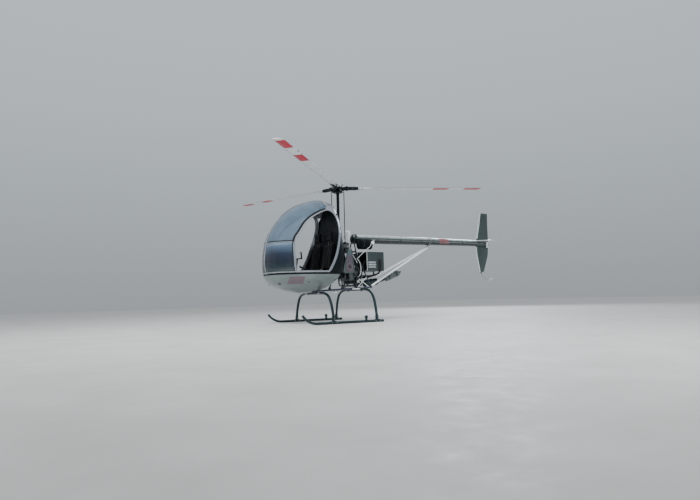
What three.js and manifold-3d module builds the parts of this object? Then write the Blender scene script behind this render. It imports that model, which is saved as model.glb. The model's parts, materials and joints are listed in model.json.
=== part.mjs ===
// Light two-seat helicopter on skids, in millimetres.
// X points forward, Y to port and Z up. Places are measured from the rotor mast's axis and from a
// level line a little above the ground. At the end the model is moved to the middle of its own box.

import * as THREE from 'three';
import { mergeVertices } from 'three/addons/utils/BufferGeometryUtils.js';
import Module from 'manifold-3d';

const wasm = await Module();
wasm.setup();

// Air left between pieces that rest on each other or are cut to fit each other.
const GAP = 0.3;
const SIDES = [['port', 1], ['starboard', -1]];
const DEGREE = Math.PI / 180;
const GROUND_Z = -46;

// Main rotor
const ROTOR_RADIUS = 3420;
const HUB_Z = 2741;
const HUB_HALF_DEPTH = 38;
const BLADE_ROOT = 450;
const BLADE_CHORD = 170;
const BLADE_THICKNESS = 21;
const CONING = 1.75 * DEGREE;
const BLADE_PITCH = 3 * DEGREE;
const BLADE_AZIMUTHS = [45.8, 165.8, 285.8];
const MAST_RADIUS = 33;
const MAST_FOOT_Z = 1700;
const SWASH_Z = 2662;
const CONTROL_AZIMUTHS = [0, 120, 240];
const CONTROL_REACH = 150;
const CONTROL_FOOT_Z = 1600;

// Tail rotor
const TAIL_ROTOR_RADIUS = 640;
const TAIL_ROTOR_X = -4150;
const TAIL_ROTOR_Y = -235;
const TAIL_ROTOR_Z = 1650;
const TAIL_SNOUT_Y = -178;
const TAIL_BLADE_CHORD = 105;
const TAIL_BLADE_LEAN = 2 * DEGREE;

// Cabin, an egg-shaped shell. The columns are x, lowest z, highest z and half width.
const EGG = [
  [215, 860, 2380, 590],
  [330, 715, 2430, 662],
  [550, 600, 2440, 700],
  [800, 555, 2375, 705],
  [1050, 565, 2270, 665],
  [1300, 620, 2070, 575],
  [1500, 720, 1800, 430],
  [1600, 860, 1570, 270],
  [1645, 1060, 1320, 90],
];
const EGG_WAIST_Z = 1150;
const EGG_UPPER_ROUNDNESS = 2.0;
const EGG_LOWER_ROUNDNESS = 2.5;
const SHELL_WALL = 20;
const GLASS_WALL = 8;
const SILL_Z = 940;
const BAR_Z = 1535;
const BAR_HALF = 16;
const CENTRE_STRIP_HALF = 28;
const SILL_BAND = 26;
const BAR_FRONT_X = 1150;
const STRIP_REAR_X = 400;
const ROOF_FRONT_X = 470;
const ROOF_Z = 2140;
const WINDSHIELD_REAR_X = 440;
const CHIN_REAR_X = 1200;
const BULKHEAD_X = 240;
const DOOR_FRAME_WIDTH = 52;
const FLOOR_Z = 700;
const FLOOR_THICKNESS = 15;
const BENCH_Z = 900;
const BENCH_HALF_Y = 560;
const SEAT_INNER_Y = 30;
const SEAT_WIDTH = 450;
const PEDAL_BAR = { x: 1215, z: 800, radius: 10, halfY: 330 };
// Corners of the door opening seen from the side: x and z.
const DOOR_OPENING = [
  [1243, 972],
  [1228, 1545],
  [1120, 1715],
  [995, 1885],
  [871, 1993],
  [685, 2103],
  [560, 2158],
  [446, 2184],
  [347, 2116],
  [303, 1970],
  [313, 1736],
  [377, 1490],
  [468, 1240],
  [610, 972],
];

// Skids and cross tubes
const SKID_Y = 856;
const SKID_RADIUS = 25;
const SKID_AXIS_Z = GROUND_Z + 25.5;
const SKID_REAR_X = -489;
const SKID_BEND_X = 960;
const SKID_BEND_RADIUS = 360;
const SKID_TOE_ANGLE = 55 * DEGREE;
const LUG_X = -97;
const LUG_TOP_Z = GROUND_Z + 138;
const LUG_RADIUS = 30;
const CROSS_RADIUS = 27;
// Each row is a name, the tube's x and the height of the middle of its arch.
const CROSS_TUBES = [
  ['front', 613, 545],
  ['rear', -348, 605],
];

// Frame tubes behind and below the cabin
const RAIL_Y = 280;
const RAIL_RADIUS = 17;
const RAIL_FRONT_X = 770;
const RAIL_REAR_X = -600;
const RAIL_FRONT_Z = 580;
const RAIL_REAR_Z = 645;
const DECK_Z = 1380;
const DECK_HALF_Y = 125;

// Tail boom: x and radius of its sections, and the height of its axis.
const BOOM_Z = 1680;
const BOOM = [
  [-320, 95],
  [-1150, 95],
  [-3700, 75],
  [-4040, 73],
];
const BOOM_SIDES = 20;
const BOOM_WALL = 5;
const EXHAUST_RADIUS = 27;
const STRUT_RADIUS = 19;
const STRUT_TOP_X = -2340;
const STRUT_TOP_Z = 1558;
const STRUT_LUG_HALF = 9;

// Fixed fin: height, leading edge x and trailing edge x.
const FIN_UPPER = [
  [BOOM_Z, -3822, -4218],
  [1840, -3840, -4221],
  [2110, -3910, -4223],
  [2430, -3980, -4230],
];
const FIN_LOWER = [
  [980, -3900, -4030],
  [1150, -3862, -4100],
  [1400, -3808, -4190],
  [1590, -3800, -4205],
  [BOOM_Z, -3822, -4218],
];
const FIN_THICKNESS = 34;
const STABILISER_Z = 1735;
// Distance to port, leading edge x and chord. It stands on the side away from the tail rotor.
const STABILISER = [
  [40, -3700, 410],
  [285, -3985, 225],
];

// Engine: a flat four with its crankshaft across the frame.
const CRANK_X = -230;
const CRANK_Z = 905;
const CYLINDER_Y = 105;
const CYLINDER_RADIUS = 58;
const CYLINDER_REACH = 222;
const FINS_PER_CYLINDER = 3;
const HEAD_HALF_Z = 66;
const OUTPUT_X = -47;
const OUTPUT_Z = 1071;
const UPPER_PULLEY_X = -58;
const UPPER_PULLEY_Z = 1440;
const GUARD_BACK_Y = 332;
const GUARD_FACE_Y = 362;

// Radiator box behind the engine.
const RADIATOR_LOW = [-910, -300, 985];
const RADIATOR_HIGH = [-486, 300, 1385];
const RADIATOR_WALL = 14;
const RADIATOR_CORE = 60;

// Drum beside the boom.
const DRUM_RADIUS = 112;
const DRUM_Y = 212;
const DRUM_Z = 1552;
const DRUM_FRONT_X = -352;
const DRUM_REAR_X = -640;
const DRUM_FILLER_X = -618;

const FINISHES = {
  silverPaint: { color: 0xa9adb0, roughness: 0.35, metalness: 0.4 },
  greyPaint: { color: 0x8b9092, roughness: 0.45, metalness: 0.3 },
  darkPaint: { color: 0x23282b, roughness: 0.5, metalness: 0.2 },
  tealBlack: { color: 0x1b2a30, roughness: 0.45, metalness: 0.3 },
  white: { color: 0xe9e7e2, roughness: 0.4, metalness: 0.0 },
  tintedGlass: { color: 0x8fa3a6, roughness: 0.08, metalness: 0.1, transparent: true, opacity: 0.45 },
  steel: { color: 0x9a9c9d, roughness: 0.35, metalness: 0.9 },
  castAlloy: { color: 0x777a7b, roughness: 0.6, metalness: 0.7 },
  cloth: { color: 0x1d1f22, roughness: 0.9, metalness: 0.0 },
  blackPlastic: { color: 0x17191b, roughness: 0.6, metalness: 0.0 },
  frameTube: { color: 0x3a4044, roughness: 0.45, metalness: 0.4 },
};

// Solids and meshes

function signedVolume(geometry) {
  const places = geometry.attributes.position;
  const order = geometry.index;
  const corners = [0, 1, 2].map(() => new THREE.Vector3());
  let volume = 0;
  for (let i = 0; i < order.count; i += 3) {
    corners.forEach((corner, k) => corner.fromBufferAttribute(places, order.getX(i + k)));
    volume += corners[0].dot(corners[1].clone().cross(corners[2])) / 6;
  }
  return volume;
}

function facingOut(geometry) {
  if (signedVolume(geometry) < 0) {
    const order = geometry.index.array;
    for (let i = 0; i < order.length; i += 3) {
      [order[i], order[i + 1]] = [order[i + 1], order[i]];
    }
  }
  return geometry;
}

function solidOf(geometry) {
  const bare = geometry.clone();
  bare.deleteAttribute('normal');
  bare.deleteAttribute('uv');
  const merged = facingOut(mergeVertices(bare, 0.001));
  return new wasm.Manifold(new wasm.Mesh({
    numProp: 3,
    vertProperties: new Float32Array(merged.attributes.position.array),
    triVerts: new Uint32Array(merged.index.array),
  }));
}

function geometryOf(solid) {
  const mesh = solid.getMesh();
  const geometry = new THREE.BufferGeometry();
  geometry.setAttribute('position', new THREE.BufferAttribute(new Float32Array(mesh.vertProperties), 3));
  geometry.setIndex(new THREE.BufferAttribute(new Uint32Array(mesh.triVerts), 1));
  geometry.computeVertexNormals();
  return geometry;
}

function union(solids) {
  return solids.reduce((whole, one) => whole.add(one));
}

function point(x, y, z) {
  return new THREE.Vector3(x, y, z);
}

function block(low, high) {
  const size = point(...high).sub(point(...low));
  const middle = point(...high).add(point(...low)).multiplyScalar(0.5);
  return solidOf(new THREE.BoxGeometry(size.x, size.y, size.z).translate(middle.x, middle.y, middle.z));
}

function rod(from, to, radius, sides = 8, endRadius = radius) {
  const start = point(...from);
  const end = point(...to);
  const along = end.clone().sub(start);
  const turn = new THREE.Quaternion().setFromUnitVectors(point(0, 1, 0), along.clone().normalize());
  const middle = start.add(end).multiplyScalar(0.5);
  const geometry = new THREE.CylinderGeometry(endRadius, radius, along.length(), sides);
  geometry.applyQuaternion(turn).translate(middle.x, middle.y, middle.z);
  return solidOf(geometry);
}

function ball(centre, radius, sides = 10) {
  return solidOf(new THREE.SphereGeometry(radius, sides, Math.ceil(sides / 2)).translate(...centre));
}

function circle(radius, sides) {
  const shape = new THREE.Shape();
  for (let i = 0; i < sides; i += 1) {
    const angle = (2 * Math.PI * i) / sides;
    const place = [radius * Math.cos(angle), radius * Math.sin(angle)];
    if (i === 0) shape.moveTo(...place);
    else shape.lineTo(...place);
  }
  shape.closePath();
  return shape;
}

// A tube of one radius along a smooth curve through a few places.
function bentTube(places, radius, sides = 10, steps = 24) {
  const path = new THREE.CatmullRomCurve3(places.map((place) => point(...place)), false, 'centripetal');
  const geometry = new THREE.ExtrudeGeometry(circle(radius, sides), {
    steps,
    extrudePath: path,
    bevelEnabled: false,
  });
  return solidOf(geometry);
}

// A flat outline in x and z, made thick along y between two places.
function sidePlate(outline, lowY, highY) {
  const shape = new THREE.Shape(outline.map(([x, z]) => new THREE.Vector2(x, z)));
  const geometry = new THREE.ExtrudeGeometry(shape, { depth: highY - lowY, bevelEnabled: false });
  geometry.rotateX(Math.PI / 2).translate(0, highY, 0);
  return solidOf(geometry);
}

// A closed body through rings of points that all have the same count.
function loft(rings) {
  const count = rings[0].length;
  const places = rings.flat();
  const order = [];
  for (let ring = 0; ring < rings.length - 1; ring += 1) {
    for (let i = 0; i < count; i += 1) {
      const here = ring * count + i;
      const next = ring * count + ((i + 1) % count);
      order.push(here, next, here + count, next, next + count, here + count);
    }
  }
  for (const ring of [0, rings.length - 1]) {
    const middle = point(0, 0, 0);
    rings[ring].forEach((place) => middle.add(place));
    places.push(middle.divideScalar(count));
    for (let i = 0; i < count; i += 1) {
      const here = ring * count + i;
      const next = ring * count + ((i + 1) % count);
      if (ring === 0) order.push(places.length - 1, next, here);
      else order.push(places.length - 1, here, next);
    }
  }
  const geometry = new THREE.BufferGeometry().setFromPoints(places);
  geometry.setIndex(order);
  return solidOf(geometry);
}

// Wing section: shares of the chord from the leading edge, and of the thickness.
const WING_OUTLINE = [
  [0, 0],
  [0.05, 0.3],
  [0.25, 0.5],
  [0.6, 0.36],
  [1, 0.04],
  [1, -0.04],
  [0.6, -0.36],
  [0.25, -0.5],
  [0.05, -0.3],
];

// Cabin

const eggColumns = new THREE.CubicInterpolant(EGG.map((row, i) => i), EGG.flat(), 4);

function eggRing(station, inset, sides) {
  const [x, low, high, half] = eggColumns.evaluate(station);
  const ring = [];
  for (let i = 0; i < sides; i += 1) {
    const angle = (2 * Math.PI * i) / sides;
    const across = Math.cos(angle);
    const up = Math.sin(angle);
    const upper = up >= 0;
    const power = 2 / (upper ? EGG_UPPER_ROUNDNESS : EGG_LOWER_ROUNDNESS);
    const height = (upper ? high - EGG_WAIST_Z : EGG_WAIST_Z - low) - inset;
    const y = (half - inset) * Math.sign(across) * Math.abs(across) ** power;
    const z = EGG_WAIST_Z + height * Math.sign(up) * Math.abs(up) ** power;
    ring.push(point(x, y, z));
  }
  return ring;
}

function egg(inset, sides = 24) {
  const last = EGG.length - 1;
  const rings = [];
  for (let i = 0; i <= 2 * last; i += 1) {
    const ring = eggRing(i / 2, inset, sides);
    if (i === 0) ring.forEach((place) => { place.x += inset; });
    if (i === 2 * last) ring.forEach((place) => { place.x -= inset * 0.6; });
    rings.push(ring);
  }
  return loft(rings);
}

// The same outline with each corner moved outwards by a distance.
function widened(outline, distance) {
  return outline.map((corner, i) => {
    const before = outline[(i + outline.length - 1) % outline.length];
    const after = outline[(i + 1) % outline.length];
    const along = new THREE.Vector2(after[0] - before[0], after[1] - before[1]).normalize();
    return [corner[0] + distance * along.y, corner[1] - distance * along.x];
  });
}

const OUTSIDE = 6000;
const outerEgg = egg(0);
const shell = outerEgg.subtract(egg(SHELL_WALL));
const glassShell = outerEgg.subtract(egg(GLASS_WALL));
const doorCut = sidePlate(DOOR_OPENING, -OUTSIDE, OUTSIDE);

function frontOf(x) {
  return block([x, -OUTSIDE, -OUTSIDE], [OUTSIDE, OUTSIDE, OUTSIDE]);
}

function above(z) {
  return block([-OUTSIDE, -OUTSIDE, z], [OUTSIDE, OUTSIDE, OUTSIDE]);
}

// The silver door surrounds, 52 mm wide all round the opening.
function surroundZone(gap) {
  const outline = widened(DOOR_OPENING, DOOR_FRAME_WIDTH + gap);
  return sidePlate(outline, -OUTSIDE, OUTSIDE).intersect(frontOf(BULKHEAD_X - gap));
}

// The rest of the silver frame: centre strip, cross bar, sill band and roof.
function stripZone(gap) {
  const half = CENTRE_STRIP_HALF + gap;
  const barHalf = BAR_HALF + gap;
  const strip = block([STRIP_REAR_X, -half, SILL_Z], [OUTSIDE, half, OUTSIDE]);
  const bar = block([BAR_FRONT_X, -OUTSIDE, BAR_Z - barHalf], [OUTSIDE, OUTSIDE, BAR_Z + barHalf]);
  const sill = block([BAR_FRONT_X, -OUTSIDE, SILL_Z - GAP], [OUTSIDE, OUTSIDE, SILL_Z + SILL_BAND + gap]);
  const roof = block([BULKHEAD_X - gap, -OUTSIDE, ROOF_Z - gap], [ROOF_FRONT_X + gap, OUTSIDE, OUTSIDE]);
  return union([strip, bar, sill, roof]);
}

function frameZone(gap) {
  return surroundZone(gap).add(stripZone(gap));
}

function makeDoorFrame(side) {
  const half = side > 0 ? [CENTRE_STRIP_HALF, OUTSIDE] : [-OUTSIDE, -CENTRE_STRIP_HALF];
  const zone = block([0, half[0], SILL_Z], [OUTSIDE, half[1], OUTSIDE]);
  return shell.intersect(surroundZone(0)).intersect(zone).subtract(doorCut);
}

function makeCanopyFrame() {
  return shell.intersect(stripZone(0)).intersect(above(SILL_Z)).subtract(surroundZone(GAP));
}

function makeWindow(side, upper) {
  const low = upper ? BAR_Z : SILL_Z;
  const high = upper ? OUTSIDE : BAR_Z;
  const rear = upper ? WINDSHIELD_REAR_X : CHIN_REAR_X;
  const half = side > 0 ? [0, OUTSIDE] : [-OUTSIDE, 0];
  const zone = block([rear, half[0], low], [OUTSIDE, half[1], high]);
  return glassShell.intersect(zone).subtract(frameZone(GAP));
}

function makeBelly(rails) {
  const zone = block([-OUTSIDE, -OUTSIDE, 0], [OUTSIDE, OUTSIDE, SILL_Z - GAP]);
  return shell.intersect(zone).intersect(frontOf(BULKHEAD_X)).subtract(rails);
}

function makeRearBulkhead(rails) {
  const face = BULKHEAD_X - GAP;
  const zone = block([0, -OUTSIDE, 0], [face, OUTSIDE, OUTSIDE]);
  const side = [[200, SILL_Z], [620, SILL_Z], [face, 2120], [200, 2120]];
  const behindDoor = sidePlate(side, -OUTSIDE, OUTSIDE);
  return union([shell.intersect(zone), shell.intersect(behindDoor)])
    .subtract(frameZone(GAP))
    .subtract(doorCut)
    .subtract(rails);
}

function makeFloor() {
  const slab = block([BULKHEAD_X, -OUTSIDE, FLOOR_Z], [1440, OUTSIDE, FLOOR_Z + FLOOR_THICKNESS]);
  return egg(SHELL_WALL + GAP).intersect(slab);
}

function makeBench() {
  const outline = [
    [245, FLOOR_Z + FLOOR_THICKNESS + GAP],
    [860, FLOOR_Z + FLOOR_THICKNESS + GAP],
    [890, BENCH_Z],
    [420, BENCH_Z],
    [330, 1180],
    [245, 1180],
  ];
  return sidePlate(outline, -BENCH_HALF_Y, BENCH_HALF_Y).intersect(egg(SHELL_WALL + GAP));
}

function makeSeat(side) {
  const outline = [
    [900, 905],
    [905, 985],
    [860, 1010],
    [560, 980],
    [500, 1010],
    [390, 1560],
    [375, 1790],
    [325, 1800],
    [300, 1560],
    [342, 1180],
    [428, BENCH_Z + GAP],
  ];
  const inner = side > 0 ? SEAT_INNER_Y : -SEAT_INNER_Y - SEAT_WIDTH;
  return sidePlate(outline, inner, inner + SEAT_WIDTH);
}

function makeConsole() {
  const floor = FLOOR_Z + FLOOR_THICKNESS + GAP;
  const { x, z, radius } = PEDAL_BAR;
  const hole = rod([x, -200, z], [x, 200, z], radius + 1, 8);
  const pedestalOutline = [[1180, floor], [1400, floor], [1360, 1130], [1270, 1130]];
  const panelOutline = [[1262, 1130], [1350, 1110], [1330, 1440], [1290, 1470], [1230, 1440]];
  const pedestal = sidePlate(pedestalOutline, -90, 90);
  const panel = sidePlate(panelOutline, -210, 210);
  return pedestal.add(panel).subtract(hole);
}

function makeCyclic() {
  const floor = FLOOR_Z + FLOOR_THICKNESS + GAP;
  const stick = rod([1012, 0, floor - 20], [960, 0, 1230], 14, 8);
  const bar = rod([960, -230, 1235], [960, 230, 1235], 12, 8);
  const grips = SIDES.map(([, side]) => rod([960, side * 222, 1215], [975, side * 222, 1360], 17, 8));
  return union([stick, bar, ...grips]).intersect(above(floor));
}

function makeCollective() {
  const pivot = block([520, -14, BENCH_Z + GAP], [580, 14, 940]);
  const lever = rod([550, 0, 930], [905, 0, 1085], 11, 8);
  const grip = rod([760, 0, 1022], [915, 0, 1089.5], 19, 8);
  return union([pivot, lever, grip]);
}

function makePedals() {
  const floor = FLOOR_Z + FLOOR_THICKNESS + GAP;
  const { x, z, radius, halfY } = PEDAL_BAR;
  const parts = [rod([x, -halfY, z], [x, halfY, z], radius, 8)];
  for (const [, side] of SIDES) {
    parts.push(block([x - 15, side * halfY - 8, floor], [x + 15, side * halfY + 8, z + 5]));
    for (const y of [150, 290]) {
      parts.push(rod([x, side * y, z], [x + 25, side * y, z + 115], 8, 8));
      parts.push(block([x + 21, side * y - 32, z + 80], [x + 33, side * y + 32, z + 160]));
    }
  }
  return union(parts);
}

// Landing gear

function crossTube(x, archZ, radius) {
  const half = [
    [SKID_Y - 4, SKID_AXIS_Z],
    [SKID_Y - 22, SKID_AXIS_Z + 130],
    [SKID_Y - 106, archZ - 190],
    [SKID_Y - 212, archZ - 62],
    [SKID_Y - 385, archZ - 8],
    [250, archZ],
  ];
  const places = half.map(([y, z]) => [x, y, z]);
  const others = half.slice().reverse().map(([y, z]) => [x, -y, z]);
  return bentTube([...places, [x, 0, archZ], ...others], radius, 8, 28);
}

function skidTube(side, radius) {
  const y = side * SKID_Y;
  const straight = [SKID_REAR_X, 300, SKID_BEND_X - 150, SKID_BEND_X - 40];
  const places = straight.map((x) => [x, y, SKID_AXIS_Z]);
  for (let i = 0; i <= 4; i += 1) {
    const angle = (i / 4) * SKID_TOE_ANGLE;
    const x = SKID_BEND_X + SKID_BEND_RADIUS * Math.sin(angle);
    places.push([x, y, SKID_AXIS_Z + SKID_BEND_RADIUS * (1 - Math.cos(angle))]);
  }
  return bentTube(places, radius, 10, 22);
}

function makeSkid(side) {
  const y = side * SKID_Y;
  const lug = rod([LUG_X, y, SKID_AXIS_Z], [LUG_X, y, LUG_TOP_Z - 20], LUG_RADIUS - 8, 10);
  const knob = rod([LUG_X, y, LUG_TOP_Z - 58], [LUG_X, y, LUG_TOP_Z], LUG_RADIUS, 12);
  const shoe = block([SKID_REAR_X + 60, y - 20, GROUND_Z], [760, y + 20, GROUND_Z + 10]);
  return union([skidTube(side, SKID_RADIUS), lug, knob, shoe]);
}

const crossTubes = CROSS_TUBES.map(([, x, archZ]) => crossTube(x, archZ, CROSS_RADIUS));
const grownCrossTubes = union(CROSS_TUBES.map(([, x, archZ]) => crossTube(x, archZ, CROSS_RADIUS + GAP)));

// Frame tubes. Each row is the start, the end, the radius, and whether it is mirrored to starboard.
function trussRows() {
  const y = RAIL_Y;
  const deck = DECK_HALF_Y;
  return [
    [[RAIL_FRONT_X, y, RAIL_FRONT_Z], [RAIL_REAR_X, y, RAIL_REAR_Z], RAIL_RADIUS, true],
    [[RAIL_FRONT_X - 20, -y, RAIL_FRONT_Z + 1], [RAIL_FRONT_X - 20, y, RAIL_FRONT_Z + 1], 14, false],
    [[100, -y, 612], [100, y, 612], 14, false],
    [[RAIL_REAR_X + 20, -y, RAIL_REAR_Z - 1], [RAIL_REAR_X + 20, y, RAIL_REAR_Z - 1], RAIL_RADIUS, false],
    [[95, y, 612], [60, deck, DECK_Z], 14, true],
    [[RAIL_REAR_X + 20, y, RAIL_REAR_Z], [-330, deck, DECK_Z + 20], 14, true],
    [[60, deck, DECK_Z], [-330, deck, DECK_Z + 20], 14, true],
    [[-330, deck, DECK_Z + 20], [-330, 60, BOOM_Z - 60], 14, true],
    [[-330, -deck, DECK_Z + 20], [-330, deck, DECK_Z + 20], 14, false],
    [[60, -deck, DECK_Z], [60, deck, DECK_Z], 14, false],
    [[-235, y, 628], [-330, deck, DECK_Z + 20], 12, true],
    [[-250, 276, 640], [-509, 236, 860], 9, true],
    [[-545, 278, 645], [-263, 233, 860], 9, true],
  ];
}

function frameTubes(grow) {
  const tubes = [];
  for (const [from, to, radius, both] of trussRows()) {
    const along = point(...to).sub(point(...from)).setLength(grow);
    const start = [from[0] - along.x, from[1] - along.y, from[2] - along.z];
    const end = [to[0] + along.x, to[1] + along.y, to[2] + along.z];
    const sides = radius < RAIL_RADIUS ? 6 : 8;
    tubes.push(rod(start, end, radius + grow, sides));
    if (both) {
      const mirrored = [start, end].map(([x, y, z]) => [x, -y, z]);
      tubes.push(rod(...mirrored, radius + grow, sides));
    }
  }
  tubes.push(rod([-338 + grow, 0, BOOM_Z], [-395 - grow, 0, BOOM_Z], BOOM[0][1] + 12 + grow, 16));
  return union(tubes);
}

function boomBody(grow) {
  return loft(BOOM.map(([x, radius]) => {
    const ring = [];
    for (let i = 0; i < BOOM_SIDES; i += 1) {
      const angle = (2 * Math.PI * i) / BOOM_SIDES;
      ring.push(point(x, (radius + grow) * Math.cos(angle), BOOM_Z + (radius + grow) * Math.sin(angle)));
    }
    return ring;
  }));
}

// Clamp round the boom with the lug that the two struts are bolted to.
function strutClamp(grow) {
  const x = STRUT_TOP_X;
  const bandHalf = 30 + grow;
  const band = rod([x + bandHalf, 0, BOOM_Z], [x - bandHalf, 0, BOOM_Z], 94 + grow, BOOM_SIDES);
  const half = STRUT_LUG_HALF + grow;
  const reach = 24 + grow;
  const lug = block([x - reach, -half, STRUT_TOP_Z - reach], [x + reach, half, BOOM_Z - 60]);
  return band.add(lug);
}

function boomInside() {
  const last = BOOM.length - 1;
  return loft(BOOM.map(([x, radius], i) => {
    const past = { 0: 10, [last]: -10 }[i] ?? 0;
    const ring = [];
    for (let k = 0; k < BOOM_SIDES; k += 1) {
      const angle = (2 * Math.PI * k) / BOOM_SIDES;
      const inner = radius - BOOM_WALL;
      ring.push(point(x + past, inner * Math.cos(angle), BOOM_Z + inner * Math.sin(angle)));
    }
    return ring;
  }));
}

const grownFrame = frameTubes(GAP);
const grownBoom = boomBody(GAP).add(strutClamp(GAP));

function makeBoom() {
  return boomBody(0).add(strutClamp(0)).subtract(boomInside());
}

function makeFrame() {
  return frameTubes(0).subtract(grownCrossTubes).subtract(grownBoom);
}

function makeStrut(side) {
  const foot = [RAIL_REAR_X + 60, side * (RAIL_Y + 2), RAIL_REAR_Z + 4];
  const top = [STRUT_TOP_X, side * (STRUT_LUG_HALF + STRUT_RADIUS), STRUT_TOP_Z];
  return rod(foot, top, STRUT_RADIUS, 10).subtract(grownFrame).subtract(grownBoom);
}

// Tail

function wingRing(lead, chord, thickness, place) {
  return WING_OUTLINE.map(([along, aside]) => place(lead - along * chord, aside * thickness));
}

function makeFin(rows) {
  const rings = rows.map(([z, lead, trail]) => (
    wingRing(lead, lead - trail, FIN_THICKNESS, (x, y) => point(x, y, z))
  ));
  return loft(rings);
}

function makeStabiliser() {
  const rings = STABILISER.map(([y, lead, chord]) => (
    wingRing(lead, chord, 26, (x, z) => point(x, y, STABILISER_Z + z))
  ));
  return loft(rings).subtract(grownBoom).subtract(gearboxBody(GAP));
}

function gearboxBody(grow) {
  const back = BOOM[BOOM.length - 1][0];
  const flange = rod([back - GAP + grow, 0, BOOM_Z], [back - 30, 0, BOOM_Z], 76 + grow, 16);
  const hubX = TAIL_ROTOR_X;
  const housing = rod([back - 24, 0, BOOM_Z], [hubX - 62 - grow, 0, TAIL_ROTOR_Z], 48 + grow, 12);
  const column = rod([hubX, 55, 1575], [hubX, 55, 1718], 33 + grow, 12);
  const snout = rod([hubX, 60, TAIL_ROTOR_Z], [hubX, TAIL_SNOUT_Y, TAIL_ROTOR_Z], 34 + grow, 12);
  return union([flange, housing, column, snout]);
}

function makeTailSkid() {
  const tube = bentTube([
    [-3932, 0, 1000],
    [-3945, 0, 940],
    [-4000, 0, 868],
    [-4090, 0, 795],
    [-4195, 0, 766],
    [-4285, 0, 808],
  ], 10, 6, 14);
  const finFoot = above(FIN_LOWER[0][0] - GAP);
  return tube.subtract(finFoot).add(ball([-4288, 0, 812], 17, 8));
}

// Drive, engine and what hangs on them

// Two pale pipe loops that stand up behind the mast.
const PIPE_LOOPS = [
  [
    [-95, 60, 1570],
    [-98, 70, 1700],
    [-110, 78, 1800],
    [-150, 82, 1842],
    [-190, 78, 1795],
    [-175, 60, 1570],
  ],
  [
    [-120, -50, 1570],
    [-150, -40, 1700],
    [-205, -20, 1822],
    [-250, 0, 1838],
    [-262, 10, 1760],
    [-180, 20, 1570],
  ],
];

function makeGearbox() {
  const sump = block([-190, -95, DECK_Z + 14 + GAP], [100, 95, 1590]);
  const cone = rod([0, 0, 1585], [0, 0, 1688], 92, 14, 62);
  const collar = rod([0, 0, 1680], [0, 0, MAST_FOOT_Z - GAP], 48, 14);
  const deck = block([-260, -120, DECK_Z + 14 + GAP], [90, 120, DECK_Z + 34]);
  const parts = [sump, cone, collar, deck];
  for (const azimuth of CONTROL_AZIMUTHS) {
    const [x, y] = [Math.cos(azimuth * DEGREE), Math.sin(azimuth * DEGREE)];
    parts.push(rod([60 * x, 60 * y, 1560], [CONTROL_REACH * x, CONTROL_REACH * y, 1572], 17, 8));
    const seat = [CONTROL_REACH * x, CONTROL_REACH * y];
    parts.push(rod([...seat, 1550], [...seat, CONTROL_FOOT_Z], 18, 8));
  }
  for (const loop of PIPE_LOOPS) {
    parts.push(bentTube(loop, 11, 6, 12));
  }
  return union(parts).subtract(grownFrame).subtract(grownBoom);
}

function makeEngine() {
  const parts = [
    block([CRANK_X - 105, -172, CRANK_Z - 110], [CRANK_X + 105, 172, CRANK_Z + 110]),
    block([CRANK_X - 80, -140, CRANK_Z - 178], [CRANK_X + 80, 140, CRANK_Z - 100]),
    block([OUTPUT_X - 95, 150, OUTPUT_Z - 130], [OUTPUT_X + 62, 292, OUTPUT_Z + 62]),
    block([CRANK_X + 60, 90, CRANK_Z - 30], [OUTPUT_X - 60, 200, CRANK_Z + 150]),
    rod([OUTPUT_X, 280, OUTPUT_Z], [OUTPUT_X, GUARD_BACK_Y - GAP, OUTPUT_Z], 40, 14),
    rod([CRANK_X, -165, CRANK_Z], [CRANK_X, -235, CRANK_Z], 88, 16),
    block([CRANK_X - 60, -150, CRANK_Z + 145], [CRANK_X + 60, 130, CRANK_Z + 205]),
    rod([CRANK_X, 0, CRANK_Z + 100], [CRANK_X, 0, CRANK_Z + 150], 40, 12),
  ];
  for (const way of [1, -1]) {
    for (const [, side] of SIDES) {
      const at = (reach, z = CRANK_Z) => [CRANK_X + way * reach, side * CYLINDER_Y, z];
      parts.push(rod(at(95), at(CYLINDER_REACH - 20), CYLINDER_RADIUS, 10));
      for (let i = 0; i < FINS_PER_CYLINDER; i += 1) {
        const reach = 114 + 21 * i;
        parts.push(rod(at(reach), at(reach + 9), CYLINDER_RADIUS + 12, 10));
      }
      const head = CYLINDER_REACH - 44;
      const ends = [CRANK_X + way * head, CRANK_X + way * CYLINDER_REACH].sort((a, b) => a - b);
      const y = side * CYLINDER_Y;
      parts.push(block([ends[0], y - 68, CRANK_Z - HEAD_HALF_Z], [ends[1], y + 68, CRANK_Z + HEAD_HALF_Z]));
      parts.push(bentTube([
        [CRANK_X + way * 40, side * CYLINDER_Y * 0.8, CRANK_Z + 175],
        [CRANK_X + way * 105, side * CYLINDER_Y * 0.9, CRANK_Z + 178],
        [CRANK_X + way * 165, side * CYLINDER_Y, CRANK_Z + 135],
        [CRANK_X + way * 192, side * CYLINDER_Y, CRANK_Z + 50],
      ], 18, 6, 6));
    }
  }
  for (const [, side] of SIDES) {
    parts.push(rod([CRANK_X, side * 150, CRANK_Z - 80], [CRANK_X + 10, side * RAIL_Y, 625], 15, 8));
  }
  return union(parts).subtract(grownFrame);
}

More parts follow.
